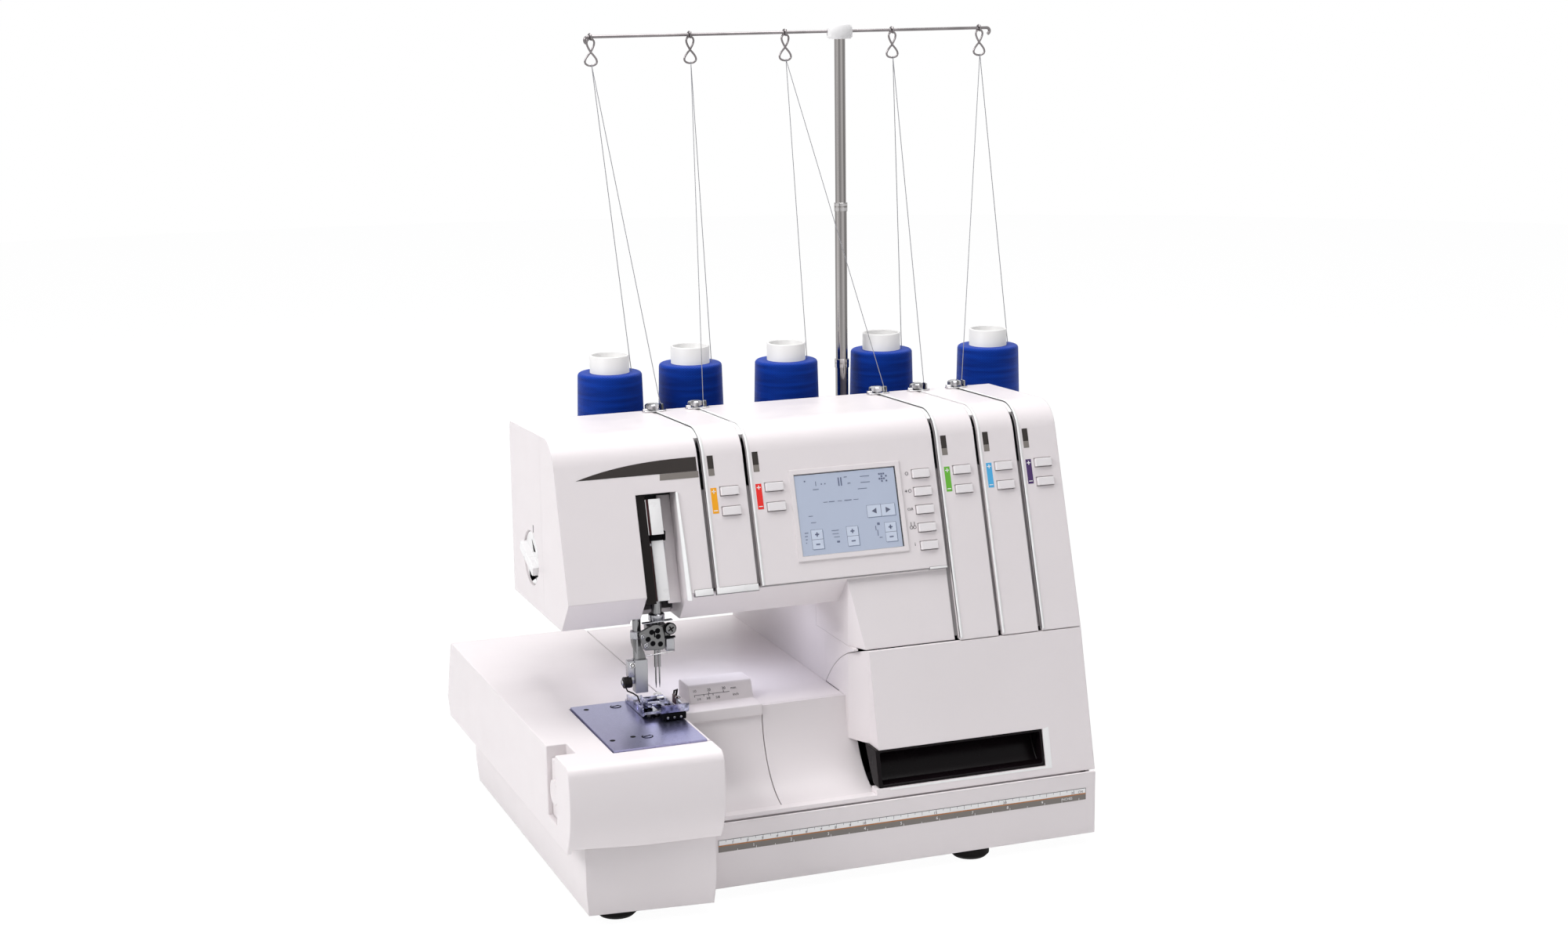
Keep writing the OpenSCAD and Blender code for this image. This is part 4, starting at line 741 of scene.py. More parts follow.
def display():
    """The touch screen with the bezel's painted shadow along its right and top inner edges, its keys and its
    plain pictograms.
    """
    left, low, width, height = SCREEN

    def show(name, bm, material, u=0, v=1, out=0.0):
        """Puts a piece on the screen, at shares of it across from the left and down from the top."""
        spot = Matrix.Translation((u * width, (1 - v) * height, out))
        add(name, bm, material, on_face(left, low, SCREEN_OUT) @ spot)

    def key(name, u, v, wide, tall):
        """A raised key with its line and shadow, from its top left corner."""
        w, h, v = wide * width, tall * height, v + tall
        show(name + "_shadow", plate(box_outline(0.5, -0.6, w + 0.6, h - 0.5), 0.05, 0.09), lcd_shadow, u, v)
        show(name + "_edge", plate(box_outline(-0.2, -0.2, w + 0.2, h + 0.2), 0.05, 0.12), lcd_line, u, v)
        show(name, plate(box_outline(0, 0, w, h), 0.05, 0.15), lcd_key, u, v)

    show("lcd", plate(box_outline(0.2, 0.2, width - 0.2, height - 0.2), -0.1, 0.06), lcd_blue)
    # Near-black strips along the screen's right and top inner edges paint the bezel's shadow.
    shade = plate(box_outline(width - 1.0, 0.2, width - 0.2, height - 0.2), 0, 0.12)
    plate(box_outline(0.2, height - 0.7, width - 0.2, height - 0.2), 0, 0.12, bm=shade)
    show("lcd_edge", shade, lcd_bezel_shadow)
    for i, (u, v) in enumerate(((0.105, 0.69), (0.452, 0.69), (0.83, 0.685)), 1):
        for box, down in (("more", 0), ("less", KEY_STEP)):
            key(f"lcd_{box}_{i}", u, v + down, KEY_W, KEY_H)
        for mark, down in (("plus", 0.057), ("minus", 0.178)):
            bars = sign(2.8, mark == "minus", 0.3)
            show(f"lcd_{mark}_{i}", bars, lcd_line, u + KEY_W / 2, v + down, 0.2)
    for i, (u, turn) in enumerate(((0.675, -1), (0.815, 1)), 1):
        key(f"lcd_arrow_box_{i}", u, 0.455, ARROW_W, ARROW_H)
        tip = [(-1.7 * turn, -1.9), (1.7 * turn, 0), (-1.7 * turn, 1.9)][::turn]
        show(f"lcd_arrow_{i}", plate(tip, 0.14, 0.22), lcd_mark, u + ARROW_W / 2, 0.455 + ARROW_H / 2)
    dots = [(0.835 + column * 0.022, 0.08 + row * 0.03, 1.2, 1.1) for column in range(4) for row in range(4)
            if (column + row) % 2 == 0 or column == 1]
    lines = None
    for u, v, w, h in (*PICTOGRAMS, *dots):
        lines = brick((w, h, 0.06), centre=(u * width, (1 - v) * height, 0.12), bm=lines)
    show("lcd_pictograms", lines, lcd_line)


# ---- trim of the cover and the base ----
LEDGE_Z, LEDGE_GAP = 50.5, 0.4
LEDGE_START, LEDGE_END = -5.5, 256.0
RECESS_RIGHT, RECESS_LOW, RECESS_HIGH, RECESS_WIDE = 231.5, 57.5, 81.2, 112
DIAL_Y, DIAL_Z = 126.7, 202.5


def lower_trim():
    """The strip that closes the gap under the cover, and the bright strips round the grip recess, a painted
    highlight of its bevel.
    """
    middle = place((LEDGE_START + LEDGE_END) / 2, cover_y(LEDGE_Z) + 2.1, LEDGE_Z + (LEDGE_GAP - 0.35) / 2)
    strip = brick((LEDGE_END - LEDGE_START, 3.0, LEDGE_GAP + 0.25), 0.05)
    add("ledge_strip", strip, white, middle, "cover")
    height = (RECESS_HIGH - RECESS_LOW) / cos(radians(COVER_LEAN))
    # Flat bright strips along the recess's right and bottom edges: a painted highlight.
    bevel = plate([(0.1, -0.4), (4.4, -1.6), (4.4, height + 1.2), (0.1, height)], -0.3, 0.14)
    plate([(0.1, -0.4), (4.4, -1.6), (-RECESS_WIDE, -1.6), (-RECESS_WIDE, -0.4)], -0.3, 0.14, bm=bevel)
    add("recess_bevel_highlight", bevel, print_and_highlight_white, on_cover(RECESS_RIGHT, RECESS_LOW), "cover")


def dial_marks():
    """The black wedges beside the dial's grip, painted shade in its recess, and the mark above it on the
    casing.
    """
    # Black sheets that paint the shade in the dial's recess.
    for name, corners in (("upper", ((-0.5, 12.4), (3.3, 4.6), (8.0, 5.4))),
                          ("lower", ((2.9, -8.3), (9.6, -6.7), (7.4, -13.5)))):
        add(f"dial_wedge_shade_{name}", plate(corners, 0, 0.1), hole_shade_black, on_left(DIAL_Y, DIAL_Z, -0.98), "dial")
    mark = plate(box_outline(-0.8, -2.4, 0.8, 2.4, 0.3), -0.3, PROUD)
    add("dial_mark", mark, shade_and_mark_grey, on_left(119.2, 223.4))


# ---- ruler on the base ----
RULER_LOW, RULER_LONG, RULER_TALL, RULER_LINE = 32.0, 259.0, 8.0, 3.9
INCH, HALF_CM = 25.4, 5


def ruler():
    """The printed rule: centimetres above its line and inches below it."""
    def field(name, z0, z1, low, out, material):
        add(name, plate(box_outline(0, z0, RULER_LONG, z1), low, out), material, on_base(0, RULER_LOW))

    def strokes(name, marks, material):
        """Fine lines from their middle, half width, foot and head."""
        lines = None
        for x, half, z0, z1 in marks:
            lines = plate(box_outline(x - half, z0, x + half, z1), 0, PROUD + 0.05, bm=lines)
        add(name, lines, material, on_base(0, RULER_LOW))

    field("ruler_white", RULER_LINE, RULER_TALL, -0.3, PROUD, print_and_highlight_white)
    field("ruler_grey", 0, RULER_LINE, -0.3, PROUD, print_grey)
    field("ruler_line", RULER_LINE - 0.1, RULER_LINE + 0.7, 0, PROUD + 0.06, print_orange)
    edges = [(RULER_LONG / 2, RULER_LONG / 2, RULER_TALL - 0.25, RULER_TALL)]
    edges += [(x, 0.12, 0, RULER_TALL) for x in (0.12, RULER_LONG - 0.12)]
    ticks = [(HALF_CM * k, 0.1, RULER_TALL - (1.5 if k % 2 else 2.6), RULER_TALL) for k in range(1, 51)]
    strokes("ruler_cm_ticks", edges + ticks, print_ink)
    halves = [(k * INCH / 8, 0.12, 0, 1.0 if k % 8 else 1.5) for k in range(4, 82, 4)]
    strokes("ruler_inch_ticks", halves, print_and_highlight_white)
    above, below = RULER_LOW + RULER_TALL - 2.4, RULER_LOW + 2.0
    words = [(f"cm_{n}", str(n), 2.6, n * 10 - 0.6, above, print_ink) for n in (*range(1, 11), 15, 20, 25)]
    words += [("cm_word", "CM", 2.4, 255, above, print_ink)]
    words += [(f"inch_{n}", str(n), 2.8, n * INCH - 1.8, below, print_and_highlight_white) for n in range(1, 10)]
    words += [("inch_word", "INCHES", 2.4, 245, below, print_and_highlight_white)]
    for name, text, size, x, z, ink in words:
        lettering(name, text, size, on_base(x, z, PROUD), ink)


# ---- spools ----
CORE_LOW, CORE_BORE = TRAY_TOP + 3, CORE_R - 1.6
YARN_LOW_R, YARN_TOP_R = 1.6, 2.2


def spools():
    """Yarn on a white core; the yarn keeps its own origin, because its helices run round it."""
    low = CORE_LOW + CORE_OUT
    height, tall = THREAD_TOP - low, THREAD_TOP + CORE_OUT - CORE_LOW
    foot_r = THREAD_R + THREAD_TAPER - YARN_LOW_R
    rise = height - YARN_LOW_R - YARN_TOP_R
    yarn = [(CORE_R, 0), (foot_r, 0), *bend(foot_r, YARN_LOW_R, YARN_LOW_R, (-68, -45, -23, 0))]
    yarn += [(THREAD_R + THREAD_TAPER * (1 - k / 12), YARN_LOW_R + rise * k / 12) for k in range(1, 13)]
    yarn += bend(THREAD_R - YARN_TOP_R, height - YARN_TOP_R, YARN_TOP_R, (22, 45, 67, 90))
    yarn += [(CORE_R, height)]
    tube = [(CORE_BORE, 0), (CORE_R - 0.3, 0), (CORE_R, 0.3), (CORE_R, tall - 0.5), (CORE_R - 0.5, tall),
            (CORE_BORE + 0.4, tall), (CORE_BORE, tall - 0.4), (CORE_BORE, 0)]
    for i, (x, y) in enumerate(SPOOLS, 1):
        name = f"thread_{i}"
        own = lathe(yarn, 96)
        ops.recalc_face_normals(own, faces=own.faces)
        cone = shown(name, finished(name, own, thread_blue, Matrix.Scale(MM, 4), 40))
        cone.matrix_world = place(x, y, low) @ Matrix.Scale(1000, 4)
        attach(cone, "machine")
        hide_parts("thread_packages")
        core = add(f"spool_core_{i}", lathe(tube, 64), core_white, place(x, y, CORE_LOW), smooth=50)
        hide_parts("spool_cores")


# ---- stand ----
CRIMP = ((-0.9, -6), (0, -5.6), (0, -3.4), (-0.35, -3.0), (-0.35, -2.4), (0, -2.0), (0, -0.5), (-0.5, 0.06),
         (-0.9, 0.06))
BAR_BEND, RING_R = 2.2, 2.0


def stand():
    """The pole's crimped collars and cap, and the hook bar with its wire hooks."""
    x, y = POLE
    for stage, z, r, body in (("lower", 303.0, 5.1, "machine"), ("middle", 414.0, 4.75, "pole_middle")):
        add(f"{stage}_crimp", lathe([(r + dr, dz) for dr, dz in CRIMP], 40), chrome, place(x, y, z), body)
    cap = lathe([(0, 5.8), (4, 5.8), (7.5, 4.6), (9.3, 2.4), (9.5, 0), (9.3, -3.8), (8.2, -5.2), (0, -5.2)])
    ops.scale(cap, vec=(1, 0.62, 1), verts=cap.verts)
    add("pole_cap", cap, smooth_white_and_highlight, place(x, y, BAR_Z), "pole_upper")
    left, right = BAR_ENDS
    path = bend(left + BAR_BEND, BAR_Z - BAR_BEND, BAR_BEND, range(250, 89, -20))
    path += bend(right - BAR_BEND, BAR_Z - BAR_BEND, BAR_BEND, range(90, -71, -20))
    bar = bent_wire("stand_bar", [(px, y, pz) for px, pz in path], 1.1, wire_chrome, "pole_upper")
    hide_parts("hook_bar")
    coil = range(-60, 421, 30)
    for i, hx in enumerate(HOOKS, 1):
        turns = [(hx + 0.9 * (a / 180 - 1), *spot) for a, spot in zip(coil, bend(y, BAR_Z, RING_R, coil))]
        bent_wire(f"hook_ring_{i}", turns, 0.65, wire_chrome, "pole_upper")
        eight = []
        for t in (radians(90 + 360 * k / 32) for k in range(33)):
            wide = 3.6 * (1.15 if sin(t) < 0 else 0.75) * sin(2 * t)
            eight.append((hx + wide, y + 0.35 * cos(t), BAR_Z - 10.2 + 8.8 * sin(t)))
        bent_wire(f"hook_{i}", eight, 0.7, wire_chrome, "pole_upper")


def top_knobs():
    """The chrome thread guide at the back end of each slot: a bent plate under a round knob."""
    knob = [(0, 0.8), (2.2, 0.8), (2.2, 1.8), (4.6, 1.8), (5.0, 2.3), (5.0, 4.4), (4.4, 5.2), (3.0, 5.7),
            (0, 5.8)]
    for i, x in enumerate(SLOTS, 1):
        where = place(x + SLOT_W / 2, GUIDE_Y, GUIDE_Z - 0.1, turned(-degrees(TOP_LEAN)))
        base = plate([(-8, -4), (5, -4), (8, -1.5), (8, 3), (5, 4), (-6, 4), (-8.6, 1)], 0, 1.0, 0.3)
        plate([(-8.6, -1.6), (-6.4, -4), (-6, -4), (-8, 1.4)], 0.8, 2.6, 0.2, bm=base)
        guide = add(f"top_guide_{i}", base, chrome, where)
        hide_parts("top_guides")
        add(f"top_knob_{i}", lathe(knob, 40), knob_chrome_painted_reflections, where @ Matrix.Translation((-1.6, 0, 0)))
        catch = where @ Matrix.Translation((5.0, 0, 3.0))
        add(f"top_catch_{i}", brick((1.4, 5.4, 4.4), 0.4), knob_chrome_painted_reflections, catch)


def thread_runs():
    """Each thread rises from its spool to its hook and falls to the guide at its slot."""
    for i, ((sx, sy), hx, slot_x) in enumerate(zip(SPOOLS, HOOKS, SLOTS), 1):
        eye = (hx, POLE[1] - 1.2, BAR_Z - 18.1)
        rise = [(sx + CORE_R + 1, sy - 3, THREAD_TOP + 0.4), eye]
        fall = [eye, (slot_x + SLOT_W / 2 + 4, GUIDE_Y, GUIDE_Z + 5.4)]
        for name, run in (("rising", rise), ("falling", fall)):
            wire = strand(f"{name}_thread_{i}", run, 0.27, thread_pale)
            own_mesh(wire)
            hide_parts("threads")


# ---- seam guide ----
GUIDE_FACE_Y, GUIDE_RUN, GUIDE_LOW, GUIDE_HIGH = 66.0, 4.0, 110.9, 120.5
GUIDE_START, GUIDE_LINE = 7.5, 116.0
GUIDE_WORDS = (("10", 0.4, 2.4, 2.5), ("20", 10.2, 2.4, 2.5), ("30", 20.4, 2.4, 2.5), ("mm", 27.0, 2.0, 2.5),
               ("1/4", 2.6, -2.6, 2.2), ("3/8", 9.2, -2.6, 2.2), ("5/8", 15.6, -2.6, 2.2),
               ("inch", 28.0, -2.0, 2.5))


def on_guide(x, z, out=0.0):
    """Local X along the seam guide's sloping front, Y up it and Z out of it."""
    rise = GUIDE_HIGH - GUIDE_LOW
    y = GUIDE_FACE_Y - GUIDE_RUN * (GUIDE_HIGH - z) / rise
    lean = degrees(atan2(GUIDE_RUN, rise))
    return place(x, y, z, turned(90 - lean)) @ Matrix.Translation((0, 0, out))


def guide_print():
    """A plain scale on the seam guide: millimetres above its line and eighths of an inch below."""
    marks = brick((24.0, 0.3, 0.1), centre=(12.0, 0, 0))
    for dx, up in ((0, -1), (10, 1), (20, 1), (6.35, -1), (9.5, -1), (12.7, -1)):
        marks = brick((0.35, 1.3, 0.1), centre=(dx, 0.6 * up, 0), bm=marks)
    add("guide_scale", marks, print_ink, on_guide(GUIDE_START, GUIDE_LINE, 0.06), "seam_guide")
    for text, dx, dz, size in GUIDE_WORDS:
        where = on_guide(GUIDE_START + dx, GUIDE_LINE + dz, PROUD)
        lettering("guide_" + text.replace("/", "_"), text, size, where, print_ink, "seam_guide", 0.04)


# ---- needle area ----
def screw(name, r, height, material, body, kind, where, turn=20.0):
    """A round screw head facing the front, with a slot, a cross or a ring in it, painted black as its shade.
    """
    add(name, disc(r, -0.4, height, 0.25), material, where, body)
    if kind == "ring":
        inner, outer, top = r * 0.45, r * 0.7, height + 0.05
        mark = lathe([(inner, height), (inner, top), (outer, top), (outer, height)], 20)
    elif kind == "slot":
        mark = brick((r * 1.7, r * 0.3, 0.12), centre=(0, 0, height))
    else:
        mark = brick((r * 1.3, r * 0.3, 0.12), centre=(0, 0, height))
        mark = brick((r * 0.3, r * 1.3, 0.12), centre=(0, 0, height), bm=mark)
    # The black mark paints the shade in the head's recess.
    spin = Matrix.Rotation(radians(turn), 3, "Z")
    ops.rotate(mark, cent=(0, 0, 0), matrix=spin, verts=mark.verts)
    add(name + "_mark", mark, black_satin_and_shade, where, body)


CHANNEL_RIGHT, CHANNEL_LEFT, CHANNEL_LOW, CHANNEL_TOP = -3.7, -30.5, 187, 253.0
GUARDS = ((188.5, 225.0, 4.6), (228.4, 250.0, 1.4))
GUARD_X = (-22.0, -14.2)
LIP = ((186.8, 2.5), (200, 2.3), (225, 1.8), (252.6, 0.9))


def channel():
    """The guard plates in front of the needle bar, the black sheet beside them that paints the channel's
    shade, and the lip, a bead in a brighter white as a painted highlight.
    """
    left, right = GUARD_X
    for i, (low, high, deep) in enumerate(GUARDS, 1):
        height, middle = up_face(high - low), (low + high) / 2
        panel = plate(box_outline(0, 0, right - left, height), -deep - 0.9, -deep, 0.2)
        guard = add(f"guard_{i}", panel, smooth_white_and_highlight, on_face(left, low))
        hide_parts("guard_plates")
        edge, wire = on_face(left - 0.9, middle, -deep - 1.0), on_face(left - 1.9, middle, -deep - 0.8)
        add(f"guard_edge_{i}", brick((1.7, height, 0.8), 0.2), knife_red, edge)
        add(f"guard_wire_{i}", brick((0.5, height, 0.8), 0.2), chrome, wire)
    # The black joint between the guard plates and the black arms beside them paint the channel's shade.
    low = GUARDS[0][1] - 2
    joint = on_face((left + right) / 2, low + 3.4, -6.0)
    add("guard_joint", brick((right - left, 7.4, 0.8), 0.2), hole_shade_black, joint)
    blocks("machine", [(f"guard_arm_{side}", hole_shade_black, (1.6, 16, 6.0), 0.3, (x, face_y(low) + 14, low + 3))
                       for side, x in (("left", left - 1.9), ("right", right + 1.2))])
    height, middle = up_face(CHANNEL_TOP - CHANNEL_LOW), (CHANNEL_TOP + CHANNEL_LOW) / 2
    # The black sheet left of the guard plates paints the channel's shade; the white one at the right is its
    # back wall.
    for name, x0, x1, deep, finish in (("channel_shade", CHANNEL_LEFT, left - 1.9, 2.6, black_satin_and_shade),
                                       ("channel_back", right + 1.8, CHANNEL_RIGHT, 15.0, white)):
        add(name, brick((x1 - x0, height, 1.0), 0.2), finish, on_face((x0 + x1) / 2, middle, -deep))
    # The lip is a bead, painted brighter than the casing as a highlight.
    sections = []
    for z, wide in LIP:
        across = ((-0.05, 1.6), (-0.2, 0.1), (0.3 * wide, -0.5), (0.8 * wide, -1.1), (wide, -0.9),
                  (1.1 * wide, 0.5))
        sections.append([(CHANNEL_RIGHT + dx, face_y(z) + dy, z) for dx, dy in across])
    ribbon("channel_lip", sections, print_and_highlight_white)


CLAMP_Y = 53.6
CLAMP_OUTLINE = ((-29.4, 153.9), (-28.2, 152.9), (-16.4, 152.2), (-15.0, 153.2), (-14.8, 159.5),
                 (-16.0, 167.3), (-19.5, 168.9), (-23.0, 168.9), (-31.2, 165.4), (-31.6, 163.6))
CLAMP_HOLES = ((-19.8, 165.2), (-19.5, 161.4), (-26.2, 160.2), (-23.1, 157.1), (-18.1, 156.3), (-23.7, 164.6))


def needle_clamp():
    """The needle clamp's plate with its holes and screws, and the guides above and below it."""
    y, body = CLAMP_Y, "needle_bar"
    outline = [(px + 20, pz - 160) for px, pz in CLAMP_OUTLINE]
    front = add("clamp_plate", plate(outline, -2.4, 0, 0.5), clamp_grey, at_front(-20, y, 160), body)
    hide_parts("needle_clamp")
    # The clamp's holes are black discs that paint their shade.
    for i, (x, z) in enumerate(CLAMP_HOLES, 1):
        hole = lathe([(0, 0.06), (1.6, 0.06), (1.75, 0.0), (1.75, -0.3)], 24)
        add(f"clamp_hole_{i}", hole, hole_shade_black, at_front(x, y, z), body)
    for i, (x, z) in enumerate(((-29.4, 162.2), (-27.3, 156.2)), 1):
        screw(f"clamp_ring_{i}", 1.6, 0.5, steel, body, "ring", at_front(x, y, z))
    post = lathe([(0, -2), (3.0, -2), (3.3, -1.6), (3.3, 2.2), (2.9, 2.6), (0, 2.6)], 28)
    add("clamp_post", post, black_satin_and_shade, at_front(-11.5, y + 1, 166.0), body)
    # The black ring round the cross screw, and the black clamp_slot and clamp_gap blocks below, paint shade.
    add("clamp_cross_ring", disc(3.9, -0.4, 0.2), hole_shade_black, at_front(-11.5, y - 1.3, 166.0), body)
    screw("clamp_cross", 3.3, 0.6, clamp_grey, body, "cross", at_front(-11.5, y - 1.6, 166.0), 30)
    blocks(body, (
        ("clamp_body", clamp_grey, (13, 9.0, 15.0), 0.8, (-18.7, 61.6, 160.5)),
        ("clamp_slot", hole_shade_black, (0.9, 4.2, 0.3), 0.1, (-21.8, y, 163.2), turned(90)),
        ("clamp_gap", hole_shade_black, (7.0, 1.0, 1.4), 0.2, (-11.6, 53.8, 160.2)),
        ("clamp_side", ankle_grey, (5.6, 5.0, 8.4), 0.7, (-11.2, 56.4, 155.0)),
        ("clamp_neck", clamp_grey, (4.0, 4.0, 5.0), 0.5, (-12.6, 57.0, 161.2)),
        ("upper_guide", steel, (20, 3.2, 0.7), 0.2, (-19.2, 56.0, 170.7), turned(-2, "Y"))))
    guide = [(-8.6, 55.0, 151.4), (-9.2, 52.8, 151.0), (-13, 52.2, 150.9), (-22, 52.4, 150.2),
             (-28.2, 53.2, 149.8)]
    bent_wire("needle_guide", guide, 0.42, chrome, body)
    collar = lathe([(0, -2.6), (5.0, -2.6), (5.2, -2.2), (5.2, 1.4), (4.6, 2), (0, 2)], 32)
    add("upper_collar", collar, steel, place(NEEDLE_X, NEEDLE_Y, 172.6), body)


CORNERS = ((1, 1), (-1, 1), (-1, -1), (1, -1))


def swept(name, path, width, depth, material, body):
    """A bar of rectangular section along (x, z) points in the plane y = NEEDLE_Y."""
    sections = []
    for i, (x, z) in enumerate(path):
        before, after = path[max(i - 1, 0)], path[min(i + 1, len(path) - 1)]
        along = Vector((after[0] - before[0], 0, after[1] - before[1])).normalized()
        side = Vector((along.z, 0, -along.x)) * width / 2
        mid = Vector((x, NEEDLE_Y, z))
        deep = Vector((0, depth / 2, 0))
        sections.append([tuple(mid + across * side + back * deep) for across, back in CORNERS])
    return ribbon(name, sections, material, body, 35)


def presser():
    """The presser bar's collar and neck, and the ankle with its side screw."""
    x, y, body = PRESSER_X, NEEDLE_Y, "presser"
    collar = lathe([(0, -2.5), (3.4, -2.5), (3.7, -2.1), (3.7, 2.1), (3.4, 2.5), (0, 2.5)], 32)
    collar = add("bar_collar", collar, steel, place(x - 0.6, y, 162.0), body)
    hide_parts("presser_foot")
    neck = ((-1.0, 161), (-0.8, 157), (0.2, 153), (1.8, 149.5), (2.6, 146), (2.8, 143.5))
    swept("bar_neck", [(x + dx, z) for dx, z in neck], 5.0, 5.0, clamp_grey, body)
    blocks(body, (("ankle", ankle_grey, (8.4, 7.6, 22.0), 0.6, (x + 1.6, y - 0.3, 135.0)),
                  ("ankle_side", steel, (4.8, 5.4, 11.0), 0.5, (x - 4.6, y, 140.0)),
                  ("ankle_arm", steel, (5.0, 4.0, 5.4), 0.5, (x - 4.0, y, 132.6))))
    screw("ankle_ring", 2.0, 0.9, chrome, body, "ring", at_front(x - 4.2, y - 2.7, 142.6))
    knob = [(0, -2.9), *((3.5 + (0.25 if k % 2 else 0), -2.7 + 5.2 * k / 10) for k in range(11)), (0, 2.8)]
    add("ankle_knob", lathe(knob, 28), black_satin_and_shade, place(x - 7.4, y - 1.5, 131.4, turned(90, "Y")), body)
    end = place(x - 10.8, y - 1.5, 131.4, turned(-90, "Y"))
    screw("ankle_knob_end", 1.7, 0.5, steel, body, "slot", end, 40)
    wire = [(x - 8.8, 59.5, 128.4), (x - 8.0, 58.5, 126.2), (x - 5.0, 57.5, 124.8), (x - 2.0, 57.0, 122.6),
            (x - 0.4, 56.8, 118.0)]
    bent_wire("ankle_wire", wire, 0.5, black_satin_and_shade, body)


FOOT_LOW, FOOT_LEFT, FOOT_RIGHT = 110.8, -32.6, -9.4
FOOT_GAPS = ((-27.6, 50, 12), (-22.4, 50, -14), (-12.4, 53, 10), (-25.0, 61, 30), (-12.2, 62, -8))


def foot():
    """The chrome foot with its turned-up toe, side cheeks and needle slot."""
    low, body = FOOT_LOW, "presser"
    toe = [(43.5, low + 3.0), (46.5, low + 1.0), (50, low)]
    heel = [(50.6, low + 1.6), (47.2, low + 2.7), (44.4, low + 4.4)]
    for part, back, ends in (("left", 86, (FOOT_LEFT, -20.6)), ("right", 86, (-15.0, FOOT_RIGHT)),
                             ("front", 57, (-20.7, -14.9))):
        outline = [*toe, (back, low), (back, low + 1.6), *heel]
        profile_bar(f"sole_{part}", outline, ends, foot_chrome_painted_glint, body)
    lip = [(46.4, low + 2.2), (36.0, low + 4.4), (34.6, low + 5.4), (33.8, low + 10.4), (34.7, low + 10.6),
           (35.6, low + 6.4), (46.8, low + 3.4)]
    profile_bar("toe_lip", lip, (-24.6, -6.2), foot_chrome_painted_glint, body)
    rib = [(0, -1.6), (0.7, -1.6), (0.8, 0.4), (0, 0.8)]
    for i, x in enumerate((-20.4, -16.0, -11.6), 1):
        add(f"toe_rib_{i}", lathe(rib, 16), bar_steel_painted_reflections, at_front(x, 34.6, low + 2.2), body)
    hinge = lathe([(0, -10), (1.6, -10), (1.8, -9.6), (1.8, 9.6), (1.6, 10), (0, 10)], 24)
    add("foot_hinge", hinge, foot_chrome_painted_glint, place(-22.5, 68.5, low + 5.2, turned(90, "Y")), body)
    # The black toe block paints the shade under the turned-up toe.
    blocks(body, [
        ("sole_back", foot_chrome_painted_glint, (6.2, 19, 1.6), 0.2, (-17.8, 76.3, low + 0.8)),
        ("cheek_left", foot_chrome_painted_glint, (1.2, 34, 4.4), 0.4, (FOOT_LEFT + 0.6, 66, low + 3.4)),
        ("cheek_right", foot_chrome_painted_glint, (1.2, 34, 3.0), 0.4, (FOOT_RIGHT - 0.6, 66, low + 2.7)),
        ("toe", hole_shade_black, (15.5, 8.0, 4.6), 0.8, (-15.6, 38.6, low + 2.6)),
        ("foot_bridge", foot_chrome_painted_glint, (7.5, 15, 5.4), 0.8, (-29.4, 66, low + 4.4)),
        ("tape_guide", chrome, (5.4, 8.5, 2.6), 0.7, (-14.8, 70, low + 5.6), turned(8))])
    for i, (x, y) in enumerate(((-26.8, 57), (-22.9, 60)), 1):
        spring = place(x, y, low + 4.2, turned(-14))
        add(f"foot_spring_{i}", brick((3.0, 13, 1.2), 0.4), foot_chrome_painted_glint, spring, body)
    # The foot gaps are black slits that paint shade.
    for i, (x, y, turn) in enumerate(FOOT_GAPS, 1):
        gap = place(x, y, low + 1.75, turned(turn, "Z"))
        add(f"foot_gap_{i}", brick((1.9, 6.4, 0.5), 0.2), hole_shade_black, gap, body)
    wire = [(-31.8, 52, low + 3), (-30.6, 56, low + 5.6), (-28.5, 62, low + 7.6), (-27, 69, low + 8.0)]
    bent_wire("foot_wire", wire, 0.6, foot_chrome_painted_glint, body)


PLATE_SCREWS, PLATE_HOLES = ((-41.5, 78.3), (-41.5, 11.2)), ((-61, 79), (-64, 11.6), (-50, 14))


def plate_marks():
    """Black rings round the needle plate's screws, black slots in their heads and its black holes, all
    painted shade.
    """
    for i, (x, y) in enumerate(PLATE_SCREWS, 1):
        edge = lathe([(2.9, 0), (2.9, 0.1), (3.7, 0.1), (3.7, 0), (2.9, 0)], 32)
        add(f"plate_screw_edge_{i}", edge, hole_shade_black, place(x, y, PLATE_TOP))
        slot = place(x, y, PLATE_TOP + 0.45, turned(25, "Z"))
        add(f"plate_screw_slot_{i}", brick((5.2, 0.9, 0.1)), hole_shade_black, slot)
    for i, (x, y) in enumerate(PLATE_HOLES, 1):
        add(f"plate_hole_{i}", disc(1.8, 0, 0.08, 0.04), hole_shade_black, place(x, y, PLATE_TOP))


KNIFE_X = -7.5


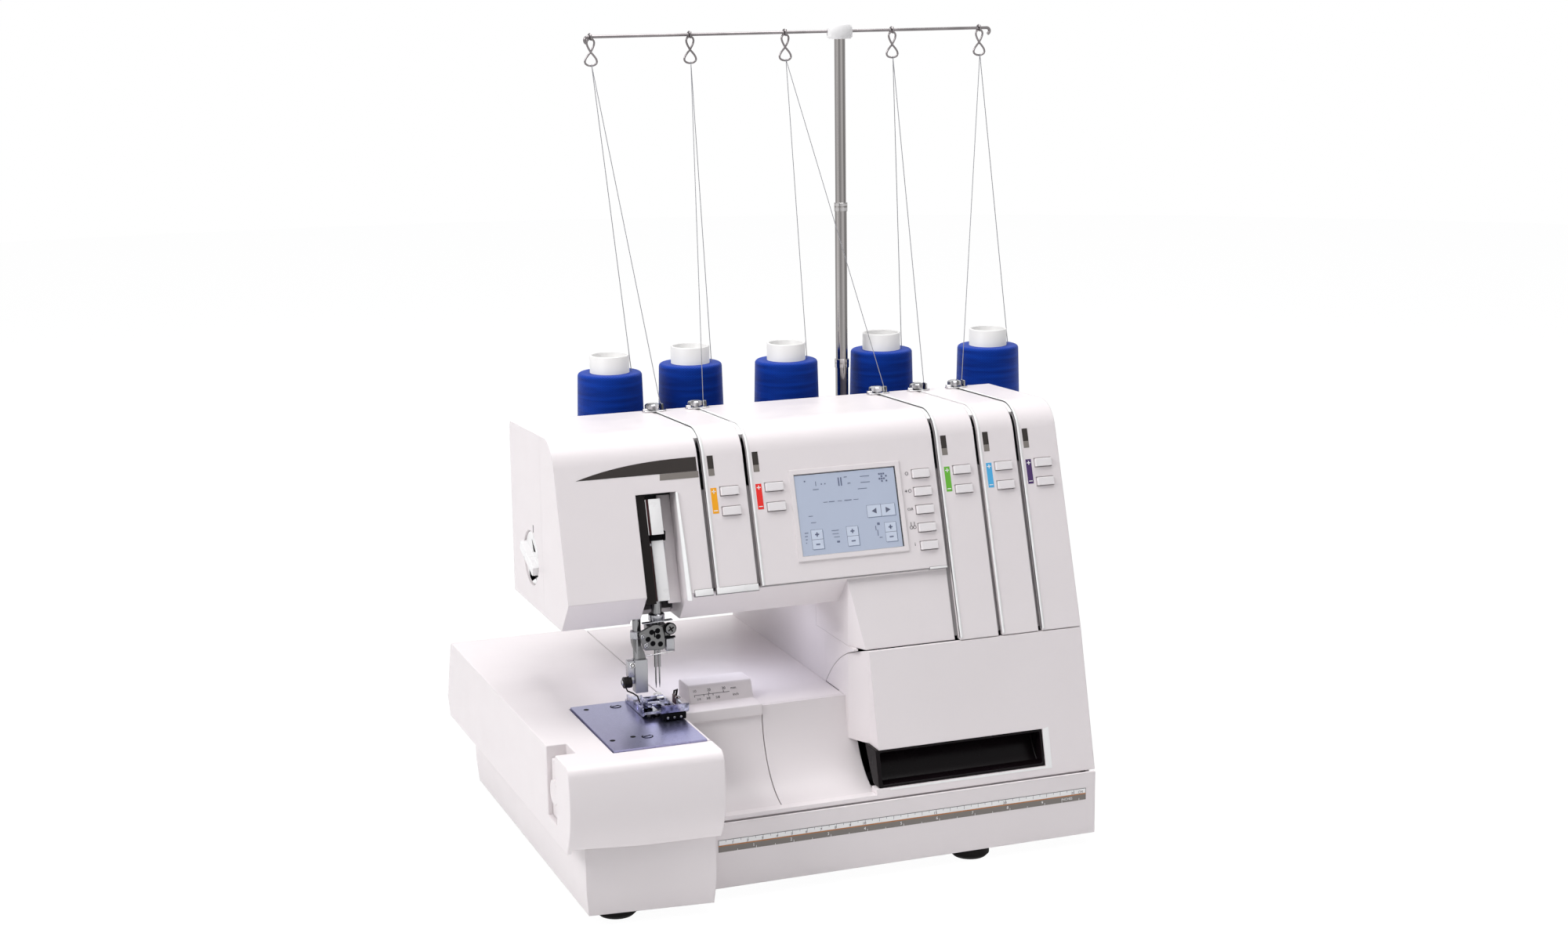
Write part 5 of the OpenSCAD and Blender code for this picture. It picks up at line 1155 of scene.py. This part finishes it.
def knives():
    """The upper knife's holder and blade, and the dark catch beside the foot."""
    body = "upper_knife"
    upper = add("knife_holder", brick((1.8, 8, 6.0), 0.5), knife_red, place(KNIFE_X, 58.0, 117.0), body)
    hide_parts("upper_knife")
    blade = plate([(-4, 104), (-4, 117.5), (7, 119.5), (8, 118), (8, 112), (4, 105)], -0.8, 0.8, 0.15)
    upright = Matrix(((0, 0, 1, 0), (1, 0, 0, 0), (0, 1, 0, 0), (0, 0, 0, 1)))
    add("knife_blade", blade, bar_steel_painted_reflections, place(KNIFE_X, 49, 0, upright), body)
    add("knife_post", brick((2.0, 3.4, 50), 0.2), steel, place(-7.4, 48.4, 92), body)
    hook = [(-7.0, 58.5, 118.5), (-6.2, 58.6, 122.2), (-6.0, 58.4, 123.3), (-8.2, 57.8, 122.9),
            (-8.5, 57.6, 121.2)]
    bent_wire("knife_hook", hook, 0.7, black_satin_and_shade, body)
    ring = [(-7.0 + 1.5 * x, 54.6, 119.0 + z) for x, z in bend(0, 0, 1.0, range(0, 361, 30))]
    bent_wire("knife_ring", ring, 0.4, bar_steel_painted_reflections, body)


# ---- CAD nodes that show as they are ----
FINISHES = (
    (black_gloss, "power_switch foot_lever"),
    (black_satin_and_shade, "power_inlet motor"),
    (rubber, "rubber_feet drive_belt"),
    (plate_steel, "needle_plate"),
    (steel, "feed_dogs lower_knife upper_looper lower_looper main_shaft motor_pulley tension_units"),
    (bar_steel_painted_reflections, "needle_bar needles presser_bar"),
    (pole_chrome_painted_reflections, "pole_lower pole_middle pole_upper"),
    (chrome, "spool_pins"),
    (cast, "frame_casting"),
    (smooth_white_and_highlight, "display_screen"),
)
for finish, names in FINISHES:
    for node in names.split():
        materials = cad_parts[node].data.materials
        materials.clear()
        materials.append(finish)

camera()
studio()
shells()
slot_trim()
front_prints()
panel_trim()
display()
lower_trim()
dial_marks()
ruler()
channel()
needle_clamp()
presser()
foot()
plate_marks()
knives()
guide_print()
spools()
stand()
top_knobs()
thread_runs()
